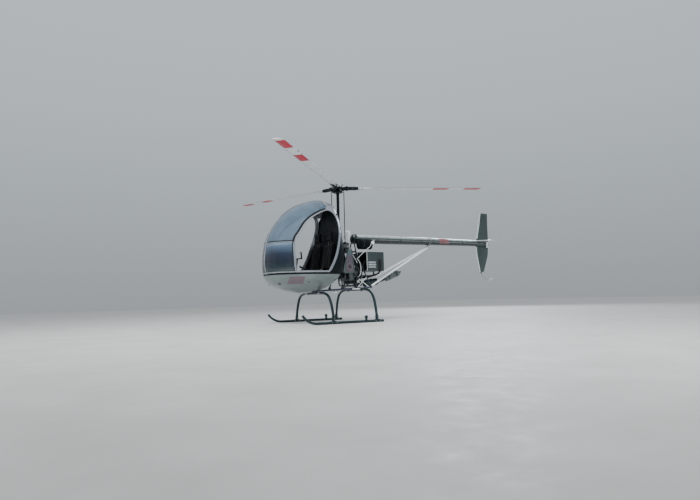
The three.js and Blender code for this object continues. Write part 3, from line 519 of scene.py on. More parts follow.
def banded_blade(name, white, red, centre):
  """Painted composite blade: satin white with red bands and patches of dust."""
  def shader(tree, place):
    moved = add(tree, "VectorMath", {0: place, 1: tuple(centre)}, operation="SUBTRACT")
    parts = add(tree, "SeparateXYZ", {0: moved.outputs[0]})
    flat = add(tree, "CombineXYZ", {"X": parts.outputs[0], "Y": parts.outputs[1]})
    reach = add(tree, "VectorMath", {0: flat.outputs[0]}, operation="LENGTH").outputs["Value"]
    share = add(tree, "Math", {0: reach, 1: ROTOR_RADIUS}, operation="DIVIDE").outputs[0]
    marks = [(0.0, white)]
    for start, end in RED_BANDS:
      marks += [(start/ROTOR_RADIUS, red), (end/ROTOR_RADIUS, white)]
    bands = add(tree, "ValToRGB", {"Fac": share}, marks)
    bands.color_ramp.interpolation = "CONSTANT"
    dirt = add(tree, "ValToRGB", {"Fac": noise(tree, place, .05, 5, .7)}, [(.25, .82), (.6, 1.0)])
    tone = add(tree, "Mix", {0: 1.0, 6: bands.outputs[0], 7: dirt.outputs[0]}, data_type="RGBA",
      blend_type="MULTIPLY")
    rub = add(tree, "MapRange", {0: noise(tree, place, .03, 4), 1: .3, 2: .7, 3: .3, 4: .5})
    return {"Base Color": tone.outputs[2], "Roughness": rub.outputs[0], "Coat Weight": .25,
      "Height": noise(tree, place, .01, 2), "Depth": 5e-05}
  return surface(name, shader)


FINISHES = {}


def make_finishes(looks):
  """Every finish on the machine, made once and shared."""
  make = FINISHES
  make["silver"] = painted("silver_two_pack_paint", looks.cabin_paint, "#868b94", .5, .28, .5)
  make["belly"] = painted("satin_grey_paint", looks.belly_paint, "#6c7777", .4, .34, .35)
  make["fin"] = painted("satin_fin_grey_paint", "#4c5857", "#3a4645", .3, .4, .15)
  make["pale"] = painted("pale_edge_paint", "#d9dedd", "#bfc6c5", .2, .33, .3)
  make["night"] = painted("near_black_paint", "#101b20", "#090f12", 0.0, .45, 0.0, shine=.14)
  make["skid"] = painted("teal_black_powder_coat", "#173134", "#0d2226", .3, .34, .3)
  make["truss"] = painted("dark_frame_powder_coat", "#32393d", "#22282c", .3, .4, .1)
  make["rail"] = painted("plum_grey_powder_coat", "#41415c", "#2d2e44", .3, .36, .2)
  make["guard"] = painted("warm_grey_guard_paint", "#6a626a", "#574f58", .2, .42, .1)
  make["guard_edge"] = painted("grey_green_guard_edge", "#66777a", "#546467", .3, .38, .2)
  make["shroud"] = painted("grey_shroud_paint", "#454f51", "#333c3e", .35, .42, .1)
  # The boom's colour follows its height: painted shade and a painted dark reflection on the underside, and
  # a painted highlight along the top.
  sides = [(0.0, "#3c4847"), (.16, "#222c2b"), (.45, "#364141"), (.62, "#566263"), (.76, "#b3bdbc"),
    (1.0, "#d5dedc")]
  make["boom"] = painted("silver_boom_paint_with_painted_shade_and_highlight", "#ffffff", "#dedede", .35, .26, .5,
    grades=(DATUM.z + BOOM_AXIS - .095, DATUM.z + BOOM_AXIS + .095, sides))
  make["white"] = painted("white_enamel", "#eceeee", "#dadddd", 0.0, .35, .3)
  make["steel"] = bare_metal("bare_drawn_steel", "#c6c8c8", "#9fa2a3", .3)
  make["bright"] = bare_metal("bright_polished_steel", "#e4e4e2", "#c4c5c5", .16)
  make["muffler"] = bare_metal("weathered_muffler_steel", "#8d9792", "#626c67", .32)
  make["strut"] = painted("white_aluminium_paint", "#fbfdfd", "#eef2f2", .1, .25, .5)
  make["heat"] = bare_metal("heat_tinted_steel", "#75767a", "#4c4c50", .36, (.05, .05, .05))
  make["dark_steel"] = bare_metal("blackened_steel", "#4a4c4f", "#303235", .42)
  make["cast"] = cast("sand_cast_alloy", "#7d8385", "#3d4143")
  make["dark_cast"] = cast("oily_cast_alloy", "#474c4f", "#1f2325")
  make["plastic"] = moulded("grained_black_plastic", "#181a1d", "#0d0f11", .5)
  make["rubber"] = moulded("black_rubber", "#1d1e20", "#121314", .7, .0014, .0001)
  make["foam"] = moulded("foam_grip", "#2a2b2e", "#1b1c1e", .9, .0018, .0006, .3)
  make["glass"] = tinted_acrylic("smoke_tinted_acrylic", "#596e80", "#425666", .68)
  # The chin window's colour follows its height as a painted reflection: pale sky at the top, dark ground
  # below.
  chin = [(0.0, "#2c4147"), (.16, "#1b2e34"), (.38, "#06132a"), (.6, "#091b33"), (.84, "#44596d"),
    (1.0, "#7d92a5")]
  make["low_glass"] = tinted_acrylic("dark_chin_acrylic_painted_reflection", "#ffffff", "#d8d8d8", .88, chin)
  make["dial_glass"] = tinted_acrylic("clear_dial_glass", "#c4cfd6", "#a9b6bf", .12)
  make["cloth"] = woven("woven_seat_cloth", "#050608", "#12151a")
  make["webbing"] = woven("harness_webbing", "#0b0c0f", "#1c1f25", .0018)
  make["blade"] = banded_blade("banded_blade_paint", "#ebedee", looks.band_paint, HUB)
  make["tail_blade"] = painted("white_tail_blade_paint", "#eceae4", "#dcdad3", 0.0, .35, .3)
  make["dial"] = painted("matt_dial_black", "#0f1113", "#0a0b0c", 0.0, .6, 0.0)
  make["needle"] = painted("needle_orange", "#e4702a", "#d8641f", 0.0, .5, 0.0)
  make["faded_rose"] = painted("faded_rose_patch", "#77696f", "#6c6068", .1, .45, 0.0)
  make["faded_red"] = painted("faded_red_patch", "#8d5a5f", "#835055", .1, .45, 0.0)
  make["plum"] = painted("plum_boss_paint", "#5c3f4c", "#4e3541", .2, .4, .1)
  make["label_bar"] = painted("pale_label_bars", "#aab1b5", "#9ea5a9", .1, .5, 0.0)
  make["label_grey"] = painted("grey_label_plate", "#6d777c", "#626c71", .1, .5, 0.0)
  make["filler"] = painted("white_filler_cap", "#f2f4f3", "#e2e5e4", .1, .28, .5)
  make["red"] = painted("red_enamel", "#b3202c", "#9c1a25", 0.0, .35, .3)
  make["floor"] = painted("pale_sealed_floor", "#c9c8c4", "#bdbcb8", 0.0, .62, 0.0, .004, .0002)


def egg_columns(station):
  """The four columns at a station, by the same cubic as the frame's own shell."""
  last = len(EGG) - 1
  i = min(int(station), last - 1)
  p = station - i
  before, w_before = (EGG[i - 1], .5) if i > 0 else (EGG[i + 1], -.5)
  after, w_after = (EGG[i + 2], .5) if i + 2 <= last else (EGG[i], -.5)
  s_before = -w_before*p**3 + 2*w_before*p**2 - w_before*p
  s_here = (1 + w_before)*p**3 + (-1.5 - 2*w_before)*p**2 + (-.5 + w_before)*p + 1
  s_next = (-1 - w_after)*p**3 + (1.5 + w_after)*p**2 + .5*p
  s_after = w_after*p**3 - w_after*p**2
  return s_before*before + s_here*EGG[i] + s_next*EGG[i + 1] + s_after*after


ROW_STEPS = 12
STATIONS = [egg_columns(k/ROW_STEPS) for k in range(ROW_STEPS*(len(EGG) - 1) + 1)]
# The nose closes smoothly just ahead of the last row.
STATIONS += [np.array((1.6535, 1.135, 1.24, .036)), np.array((1.655, 1.178, 1.197, .008))]


def egg_ring(columns, inset, shift=0.0, count=96):
  x, low, high, half = columns
  places = []
  for i in range(count):
    angle = 2*pi*i/count
    across, up = cos(angle), sin(angle)
    power = 2/(UPPER_ROUNDNESS if up >= 0 else LOWER_ROUNDNESS)
    height = (high - WAIST if up >= 0 else WAIST - low) - inset
    wide = max(half - inset, .002)
    y = wide*copysign(abs(across)**power, across)
    z = WAIST + max(height, .002)*copysign(abs(up)**power, up)
    places.append(at(x + shift, y, z))
  return places


def egg_body(inset):
  """The whole egg, moved inwards by a distance. Its ends move in by degrees."""
  last = ROW_STEPS*(len(EGG) - 1)
  rings = []
  for i, columns in enumerate(STATIONS):
    rear = max(1 - i/ROW_STEPS, 0)
    front = min(max((i - last + ROW_STEPS)/ROW_STEPS, 0), 1)
    rings.append(egg_ring(columns, inset, inset*(rear - .6*front)))
  return loft(rings)


def skin_y(x, z, proud=0.0):
  """Half width of the cabin's outside at that place."""
  table = np.array(STATIONS)
  low, high, half = (np.interp(x, table[:, 0], table[:, k]) for k in (1, 2, 3))
  upper = z >= WAIST
  roundness = UPPER_ROUNDNESS if upper else LOWER_ROUNDNESS
  share = min(abs(z - WAIST)/(high - WAIST if upper else WAIST - low), 1.0)
  return half*(1 - share**roundness)**(1/roundness) + proud


def door_outline(grow=0.0):
  """The door opening's outline, moved outwards by a distance."""
  outline = [(place.x, place.y) for place in flow([(x, z, 0) for x, z in (DOOR_FOOT, *DOOR_CURVE)], 6)]
  grown = []
  for i, (x, z) in enumerate(outline):
    before, after = outline[i - 1], outline[(i + 1) % len(outline)]
    along = Vector((after[0] - before[0], after[1] - before[1])).normalized()
    grown.append((x + grow*along.y, z - grow*along.x))
  return grown


def pipe(start, end, radius, finish, **more):
  return keep(coat(rod(at(*start), at(*end), radius, **more), finish))


def brick(low, high, finish, rounding=.004):
  return keep(coat(box(at(*low), at(*high), rounding), finish))


def hose(points, radius, finish, steps=8):
  return keep(coat(tube(flow([at(*place) for place in points], steps), radius), finish))


def plate(outline, low, high, finish, rounding=.003):
  return keep(coat(slab(outline, low, high, rounding), finish))


def turned(profile, origin, axis, finish, sides=40):
  return keep(coat(lathe(profile, at(*origin), axis, sides), finish))


def band(start, end, outer, thickness, finish):
  """A clamp band: a short, slightly rounded sleeve between two places on its axis."""
  start, end = Vector(start), Vector(end)
  long = (end - start).length
  lip = min(thickness, long)*.4
  profile = [(outer - thickness, 0), (outer - lip, 0), (outer, lip), (outer, long - lip),
    (outer - lip, long), (outer - thickness, long), (outer - thickness, 0)]
  return turned(profile, start, end - start, finish)


def bolt(place, axis, size=.006, finish="steel"):
  """A hexagon head on its washer."""
  def model():
    return join("bolt", rod((0, 0, 0), (0, 0, 1.1), 1, sides=6), rod((0, 0, 0), (0, 0, .3), 1.3, sides=20))
  turn = Vector(axis).to_track_quat("Z", "Y").to_matrix().to_4x4()
  return keep(coat(from_stock("bolt", model, at(*place), turn, (size, size, size)), finish))


def bolt_circle(centre, axis, radius, count, size, finish="steel"):
  """Bolts set round an axis."""
  centre, axis = Vector(centre), Vector(axis).normalized()
  aside = axis.orthogonal().normalized()
  for i in range(count):
    angle = 2*pi*i/count
    bolt(centre + Matrix.Rotation(angle, 3, axis) @ aside*radius, axis, size, finish)


def zone(x=(-6, 6), y=(-6, 6), z=(-6, 6)):
  """A cutting block, given by its range along each axis."""
  return box(at(x[0], y[0], z[0]), at(x[1], y[1], z[1]), 0)


def strap(points, width, thickness, finish, aside=PORT):
  """Webbing laid along a line of places."""
  line = flow([at(*place) for place in points], 6)
  half = Vector(aside).normalized()*width/2
  places = [place + side*half for place in line for side in (-1, 1)]
  faces = [(2*i, 2*i + 1, 2*i + 3, 2*i + 2) for i in range(len(line) - 1)]
  piece = mesh_piece("strap", places, faces)
  modify(piece, "SOLIDIFY", thickness=thickness, offset=0)
  return keep(coat(smooth(piece, 40), finish))


SEAM = .0012
GASKET_STRIP = .03
POST_STRIP = .013
DOOR_SILL = .976
FRONT_POST_X = 1.0
SILL_STRIP = .034


def bead(piece, skin, radius):
  """A rubber bead along the outer rim of a window."""
  tree = BVHTree.FromPolygons([v.co for v in skin.data.vertices], [p.vertices for p in skin.data.polygons])
  shape = bmesh.new()
  shape.from_mesh(piece.data)
  rim = [edge for edge in shape.edges if len(edge.link_faces) == 2 and edge.calc_face_angle() > radians(50)
    and all(tree.find_nearest(vertex.co)[3] < .0008 for vertex in edge.verts)]
  places = [vertex.co.copy() for edge in rim for vertex in edge.verts]
  shape.free()
  line = mesh_piece("bead", places, [], [(2*i, 2*i + 1) for i in range(len(places) // 2)])
  modify(line, "WELD", merge_threshold=.002)
  choose(line)
  bpy.ops.object.convert(target="CURVE")
  line = bpy.context.object
  line.data.bevel_depth = radius
  line.data.bevel_resolution = 3
  bpy.ops.object.convert(target="MESH")
  return coat(smooth(bpy.context.object, 60), "rubber")


def side_patch(xs, zs, finish, proud=.0007):
  """A plain coloured patch laid on the port side of the cabin's skin."""
  across = np.linspace(*xs, 9)
  up = np.linspace(*zs, 7)
  points = [at(x, skin_y(x, z, proud), z) for x in across for z in up]
  faces = [(7*i + j, 7*i + j + 1, 7*i + j + 8, 7*i + j + 7) for i in range(8) for j in range(6)]
  piece = mesh_piece("patch", points, faces)
  modify(piece, "SOLIDIFY", thickness=2*proud, offset=0)
  return keep(coat(smooth(outward(piece), 40), finish))


def build_cabin(looks):
  skin = egg_body(0)
  walls = {}
  for name, inset in (("metal", SHELL_WALL), ("glass", GLASS_WALL)):
    lining = egg_body(inset)
    lining.data.flip_normals()
    walls[name] = join(name, copy_of(skin), lining)

  def surround(grow, low=-2, high=2):
    outline = slab(door_outline(DOOR_RIM + grow), low, high, 0)
    return cut(outline, zone(x=(BULKHEAD_X - grow, 6)), "INTERSECT")

  def strips(grow):
    zones = [
      zone((.4, 6), (-STRIP_HALF - grow, STRIP_HALF + grow), (SILL, 6)),
      zone((1.15, 6), z=(BAR - BAR_HALF - grow, BAR + BAR_HALF + grow)),
      zone((1.15, 6), z=(SILL - SEAM, SILL + .026 + grow)),
      zone((BULKHEAD_X - grow, .47 + grow), z=(2.14 - grow, 6)),
    ]
    whole = zones[0]
    for part in zones[1:]:
      cut(whole, part, "UNION")
    return whole

  door = slab(door_outline(), -2, 2, 0)
  side_frame = copy_of(walls["metal"])
  cut(side_frame, surround(0, STRIP_HALF, 2), "INTERSECT")
  cut(side_frame, zone(z=(SILL, 6)), "INTERSECT")
  cut(side_frame, copy_of(door))
  # Ahead and above, the outer part of the surround is a wide dark rubber strip.
  def dark_part(wide, where):
    edge = cut(surround(.01, STRIP_HALF, 2), slab(door_outline(DOOR_RIM - wide), -2, 2, 0))
    return cut(edge, where, "INTERSECT")

  outer_part = dark_part(GASKET_STRIP, zone((.5, 6), z=(BAR - BAR_HALF, 6)))
  post_part = dark_part(POST_STRIP, zone((FRONT_POST_X, 6), z=(DOOR_SILL, BAR)))
  cut(outer_part, post_part, "UNION")
  strip = cut(copy_of(side_frame), copy_of(outer_part), "INTERSECT")
  coat(soften(strip, .002, 2), "rubber")
  cut(side_frame, outer_part)
  coat(soften(side_frame, .0035, 3), "silver")
  seal_line = [at(x, skin_y(x, z) - .012, z) for x, z in door_outline(.002)]
  seal = coat(tube(seal_line, .007, closed=True), "rubber")
  deliver_pair("door_frame", "silver_paint", side_frame, strip, seal)

  canopy = copy_of(walls["metal"])
  cut(canopy, strips(0), "INTERSECT")
  cut(canopy, zone(z=(SILL, 6)), "INTERSECT")
  cut(canopy, surround(SEAM))
  # The upper half of the cross bar is its rubber seal.
  upper = (BAR - .001, BAR + BAR_HALF + .001)
  bar_seal = cut(copy_of(canopy), zone((1.15, 6), (STRIP_HALF, 6), upper), "INTERSECT")
  for ys in ((STRIP_HALF, 6), (-6, -STRIP_HALF)):
    cut(canopy, zone((1.15, 6), ys, upper))
  coat(soften(bar_seal, .002, 2), "rubber")
  coat(soften(canopy, .003, 3), "silver")
  deliver("canopy_frame", "silver_paint", canopy, bar_seal, mirrored(bar_seal))

  for name, x, z, finish in (("windshield", .44, (BAR, 6), "glass"),
      ("chin_window", 1.2, (SILL, BAR), "low_glass")):
    pane = copy_of(walls["glass"])
    cut(pane, zone((x, 6), (0, 6), z), "INTERSECT")
    cut(pane, strips(SEAM))
    cut(pane, surround(SEAM))
    rim = bead(pane, skin, looks.gasket)
    coat(smooth(pane, 40), finish)
    deliver_pair(name, "tinted_glass", pane)
    deliver(f"{name}_gaskets", "black_rubber", rim, mirrored(rim), node=False)

  belly = copy_of(walls["metal"])
  cut(belly, zone((BULKHEAD_X, 6), z=(0, SILL - 2*SEAM)), "INTERSECT")
  sill = cut(copy_of(belly), zone(z=(SILL - SILL_STRIP, SILL)), "INTERSECT")
  cut(belly, zone(z=(SILL - SILL_STRIP - SEAM, SILL)))
  coat(soften(sill, .003, 2), "night")
  coat(soften(belly, .003, 3), "belly")
  keep(belly)
  keep(sill)
  side_patch((1.075, 1.345), (.728, .864), "faded_rose")
  for x, z in ((.42, .8), (.98, .76)):
    for side in (1, -1):
      drain = (x, side*skin_y(x, z, -.002), z)
      turned([(0, .0045), (.01, .004), (.014, .001), (.014, 0), (0, 0)], drain, (0, side, -.25), "night",
        28)
  # Dark round air inlets low in the nose.
  for side in (1, -1):
    x, z = 1.452, .742
    inlet = (x, side*skin_y(x, z, -.006), z)
    profile = [(0, .001), (.017, .001), (.019, .009), (.023, .01), (.026, .004), (.026, 0), (0, 0)]
    turned(profile, inlet, (.62, .5*side, -.6), "night", 32)
  for side in (1, -1):
    for k in range(24):
      x = .3 + .046*k
      z = SILL - SILL_STRIP - .016
      place = (x, side*skin_y(x, z, -.0008), z)
      ball_at(place, .0048, "belly", (1, .45, 1))
  deliver("belly_shell", "grey_paint")

  wall = copy_of(walls["metal"])
  behind = zone((0, BULKHEAD_X - SEAM), z=(0, 6))
  cut(behind, slab([(.2, SILL), (.62, SILL), (BULKHEAD_X - SEAM, 2.12), (.2, 2.12)], -2, 2, 0), "UNION")
  cut(wall, behind, "INTERSECT")
  cut(wall, strips(SEAM))
  cut(wall, surround(SEAM))
  cut(wall, door)
  coat(soften(wall, .003, 3), "night")
  keep(wall)
  # Stiffening beads pressed into the flat wall, the fuel and wiring grommets, and the frame's round
  # fitting.
  for z in (1.02, 1.24, 1.46, 1.68, 1.9):
    half = .4 if z < 1.8 else .3
    pipe((.213, -half, z), (.213, half, z), .011, "night", rounding=.004)
  for y, z in ((.3, 1.13), (-.3, 1.13), (.18, 1.57), (-.18, 1.57)):
    turned([(.012, 0), (.03, 0), (.03, .006), (.022, .01), (.012, .008)], (.216, y, z), AFT, "rubber", 32)
  for side in (1, -1):
    turned([(0, .01), (.012, .01), (.02, .006), (.021, 0), (0, 0)], (.213, .321*side, 1.526),
      (-1, .4*side, 0), "bright", 32)
  deliver("rear_bulkhead", "dark_paint")

  for piece in (skin, *walls.values()):
    bpy.data.objects.remove(piece)


def ball_at(place, radius, finish, scale=(1, 1, 1), sides=12):
  model = from_stock(f"ball_{sides}", lambda: ball((0, 0, 0), 1, sides), at(*place), Matrix.Identity(4),
    [radius*share for share in scale])
  return keep(coat(model, finish))


SKID_Y, SKID_RADIUS, SKID_AXIS = .856, .025, -.0205
GROUND = -.046
SKID_BEND_X, SKID_BEND_RADIUS, SKID_TOE = .96, .36, radians(55)
LUG_X, LUG_TOP, LUG_RADIUS = -.097, .092, .03
CROSS_TUBES = (("front", .613, .545), ("rear", -.348, .605))
CROSS_RADIUS = .027


def cross_line(x, arch):
  half = [(SKID_Y - .004, SKID_AXIS), (SKID_Y - .022, SKID_AXIS + .13), (SKID_Y - .106, arch - .19),
    (SKID_Y - .212, arch - .062), (SKID_Y - .385, arch - .008), (.25, arch)]
  port = [(x, y, z) for y, z in half]
  return [*port, (x, 0, arch), *[(x, -y, z) for y, z in reversed(half)]]


def build_landing_gear(looks):
  line = [(x, SKID_Y, SKID_AXIS) for x in (-.489, .3, SKID_BEND_X - .15, SKID_BEND_X - .04)]
  for i in range(7):
    angle = SKID_TOE*i/6
    line.append((SKID_BEND_X + SKID_BEND_RADIUS*sin(angle), SKID_Y,
      SKID_AXIS + SKID_BEND_RADIUS*(1 - cos(angle))))
  toe = Vector((cos(SKID_TOE), 0, sin(SKID_TOE)))
  tip = Vector(line[-1])
  hose(line, SKID_RADIUS, "skid", 10)
  # End plugs, welded lips and the wear shoe with its countersunk screws.
  band(tip - .02*toe, tip + .0005*toe, SKID_RADIUS + .0015, .003, "skid")
  band((-.4888, SKID_Y, SKID_AXIS), (-.468, SKID_Y, SKID_AXIS), SKID_RADIUS + .0015, .003, "skid")
  brick((-.429, SKID_Y - .02, GROUND), (.76, SKID_Y + .02, GROUND + .01), "dark_steel", .003)
  for x in (-.36, -.1, .16, .42, .7):
    for side in (-1, 1):
      place = (x, SKID_Y + .0245*side, SKID_AXIS - .002)
      bolt(place, (0, side, -.1), .0045, "dark_steel")
    band((x - .014, SKID_Y, SKID_AXIS), (x + .014, SKID_Y, SKID_AXIS), SKID_RADIUS + .002, .004, "skid")
  # Saddles that clamp the skid to the feet of the cross tubes.
  for _, x, arch in CROSS_TUBES:
    foot, knee = (Vector((x, SKID_Y - .004, SKID_AXIS)), Vector((x, SKID_Y - .022, SKID_AXIS + .13)))
    up = (knee - foot).normalized()
    band((x - .07, SKID_Y, SKID_AXIS), (x + .07, SKID_Y, SKID_AXIS), SKID_RADIUS + .006, .007, "skid")
    band(foot + .018*up, foot + .105*up, CROSS_RADIUS + .007, .008, "skid")
    band(foot + .101*up, foot + .109*up, CROSS_RADIUS + .009, .01, "skid")
    for dx in (-.052, .052):
      for side in (-1, 1):
        bolt((x + dx, SKID_Y + .03*side, SKID_AXIS + .004), (0, side, .25), .0065)
    for height in (.045, .082):
      place = foot + height*up
      bolt((x, place.y + .0335, place.z), PORT, .0065)
      bolt((x, place.y - .0335, place.z), STARBOARD, .0065)
  # Lug for a clip-on ground wheel: a stout post with a grooved knob.
  pipe((LUG_X, SKID_Y, SKID_AXIS), (LUG_X, SKID_Y, LUG_TOP - .02), LUG_RADIUS - .008, "skid")
  band((LUG_X, SKID_Y, SKID_AXIS + .022), (LUG_X, SKID_Y, SKID_AXIS + .034), LUG_RADIUS - .003, .008,
    "skid")
  profile = [(0, 0), (.024, 0), (LUG_RADIUS, .006), (LUG_RADIUS, .05), (.026, .058), (.012, .058),
    (0, .058)]
  turned(profile, (LUG_X, SKID_Y, LUG_TOP - .058), UP, "skid")
  for k in range(18):
    angle = 2*pi*k/18
    x, y = LUG_X + .0295*cos(angle), SKID_Y + .0295*sin(angle)
    pipe((x, y, LUG_TOP - .048), (x, y, LUG_TOP - .012), .0018, "skid", sides=8)
  deliver_pair("skid", "skid_paint", press_flat(gather("skid"), 0))

  for name, x, arch in CROSS_TUBES:
    hose(cross_line(x, arch), CROSS_RADIUS, "skid", 12)
    for side in (1, -1):
      # Clamp blocks under the frame rails, and the bright strap that shows ahead of the engine.
      band((x, side*.31, arch + .0005), (x, side*.25, arch), CROSS_RADIUS + .008, .009,
        "steel" if name == "front" else "skid")
      for y in (.262, .298):
        bolt((x + .034, side*y, arch), AHEAD, .006)
        bolt((x - .034, side*y, arch), AFT, .006)
    deliver(f"cross_tube_{name}", "skid_paint")


RAIL_Y, RAIL_RADIUS = .28, .017
RAIL_FRONT, RAIL_REAR = (.77, .58), (-.6, .645)
DECK = 1.38
BOOM_AXIS = 1.68
# Each row is the start, the end, the radius, and whether it has a twin to starboard.
TRUSS = (((.77, .28, .58), (-.6, .28, .645), .017, True),
  ((.75, -.28, .581), (.75, .28, .581), .014, False), ((.1, -.28, .612), (.1, .28, .612), .014, False),
  ((-.58, -.28, .644), (-.58, .28, .644), .017, False), ((.095, .28, .612), (.06, .125, 1.38), .014, True),
  ((-.58, .28, .645), (-.33, .125, 1.4), .014, True), ((.06, .125, 1.38), (-.33, .125, 1.4), .014, True),
  ((-.33, .125, 1.4), (-.33, .06, 1.62), .014, True), ((-.33, -.125, 1.4), (-.33, .125, 1.4), .014, False),
  ((.06, -.125, 1.38), (.06, .125, 1.38), .014, False), ((-.235, .28, .628), (-.33, .125, 1.4), .012, True),
  ((-.25, .276, .64), (-.509, .236, .86), .009, True),
  ((-.545, .278, .645), (-.263, .233, .86), .009, True))


def build_frame(looks):
  for start, end, radius, both in TRUSS:
    finish = {RAIL_RADIUS: "rail", .009: "pale"}.get(radius, "truss")
    ways = (1, -1) if both else (1,)
    for side in ways:
      a, b = Vector(start)*Vector((1, side, 1)), Vector(end)*Vector((1, side, 1))
      pipe(a, b, radius, finish, sides=28)
      # Weld fillets where the tube meets its neighbours.
      along = (b - a).normalized()
      for place, way in ((a, along), (b, -along)):
        foot = place + way*(radius + .01)
        keep(coat(ring(at(*foot), way, radius + .0005, .0026, 28, 8), finish))
  for side in (1, -1):
    for x in (-.58, -.235, .097):
      z = RAIL_REAR[1] + (RAIL_FRONT[1] - RAIL_REAR[1])*(x - RAIL_REAR[0])/(RAIL_FRONT[0]
        - RAIL_REAR[0])
      outline = [(x - .045, z + .012), (x + .045, z + .008), (x + .014, z + .07), (x - .01, z + .07)]
      low, high = sorted((side*.2775, side*.2825))
      plate(outline, low, high, "truss", .001)
    # Saddles under the rails for the cross tubes.
    for _, x, arch in CROSS_TUBES:
      band((x - .036, side*RAIL_Y, arch + .0295), (x + .036, side*RAIL_Y, arch + .029), .0205, .004,
        "steel")
  # Corrugated black air duct from the bulkhead down to the engine.
  line = [(.213, .2, 1.47), (.15, .225, 1.455), (.07, .248, 1.395), (.038, .252, 1.29), (.034, .25, 1.18),
    (.01, .235, 1.1), (-.06, .215, 1.05)]
  hose(line, .033, "rubber", 12)
  route = flow([at(*place) for place in line], 12)
  for before, after in zip(route, route[1:]):
    keep(coat(ring(before.lerp(after, .5), after - before, .0335, .0032, 24, 6), "rubber"))
  # A thin white plate on the port rail, put where light glints along the rail as a painted highlight, and a
  # vent tube clipped below it.
  brick((-.307, RAIL_Y + .013, .606), (-.124, RAIL_Y + .021, .628), "strut", .003)
  pipe((.18, RAIL_Y, .556), (.317, RAIL_Y, .55), .014, "strut", rounding=.003)
  for x in (.205, .29):
    band((x - .006, RAIL_Y, .554), (x + .006, RAIL_Y, .553), .0165, .003, "truss")
    brick((x - .005, RAIL_Y - .003, .562), (x + .005, RAIL_Y + .003, .6), "truss", .001)
  profile = [(.0952, -.3955), (.107, -.3955), (.107, -.39), (.1035, -.386), (.1035, -.348), (.107, -.344),
    (.107, -.338), (.0952, -.338), (.0952, -.3955)]
  turned(profile, (0, 0, BOOM_AXIS), AHEAD, "truss", 56)
  for side in (1, -1):
    brick((-.388, side*.118 - .01, BOOM_AXIS - .016), (-.346, side*.118 + .01, BOOM_AXIS + .016),
      "truss", .002)
    for x in (-.378, -.356):
      bolt((x, side*.128, BOOM_AXIS), (0, side, 0), .0055)
  deliver("frame_tubes", "frame_paint")


BOOM = ((-.32, .095), (-1.15, .095), (-3.7, .075), (-4.04, .073))
STRUT_TOP = (-2.34, 1.558)
FIN_UPPER = ((1.68, -3.822, -4.218), (1.84, -3.84, -4.221), (2.11, -3.91, -4.223), (2.43, -3.98, -4.23))
FIN_LOWER = ((.98, -3.9, -4.03), (1.15, -3.862, -4.1), (1.4, -3.808, -4.19), (1.59, -3.8, -4.205),
  (1.68, -3.822, -4.218))
FIN_THICKNESS = .034
TAIL_X = -4.15
CAPSULE_X = -4.122


def boom_radius(x):
  return float(np.interp(-x, [-row[0] for row in BOOM], [row[1] for row in BOOM]))


def wing_half(share):
  """Half the height of a wing section 1 thick, at a share of its chord."""
  return (1.4845*share**.5 - .63*share - 1.758*share**2 + 1.4215*share**3
    - .518*share**4)


def section(chord, thickness, lead, place, count=18, blunt=.02):
  """A wing section as a closed ring: round nose, thickest at a quarter, thin tail."""
  ring_places = []
  for side in (1, -1):
    for i in range(count + 1):
      share = .5*(1 - cos(pi*i/count))
      if side < 0:
        share = 1 - share
        if i in (0, count):
          continue
      half = wing_half(share) + blunt*share
      ring_places.append(place(lead - share*chord, side*half*thickness))
  return ring_places


def edge_cap(rows, place, thickness, share=.075, finish="pale"):
  """A thin cap wrapped round a leading edge. Each row is the leading edge, the chord and the place along
  it."""
  count = 8
  rings = []
  for lead, chord, along in rows:
    whole = section(chord, thickness + .0012, lead + .0006, lambda x, y: (x, y), 40, 0.0)
    nose = [(x, y) for x, y in whole if x > lead - share*chord]
    upper = sorted([one for one in nose if one[1] > 1e-05])[::-1]
    steps = np.linspace(0, len(upper) - 1, count)
    xs, ys = (np.interp(steps, range(len(upper)), [one[k] for one in upper]) for k in (0, 1))
    line = [*zip(xs[::-1], ys[::-1]), (lead + .0006, 0.0), *zip(xs, -ys)]
    rings.append([place(x, y, along) for x, y in line])
  wide = len(rings[0])
  faces = [(wide*i + j, wide*i + j + 1, wide*i + wide + j + 1,
    wide*i + wide + j) for i in range(len(rings) - 1) for j in range(wide - 1)]
  piece = mesh_piece("cap", [one for line in rings for one in line], faces)
  modify(outward(piece), "SOLIDIFY", thickness=.0014, offset=0)
  return keep(coat(smooth(piece, 40), finish))


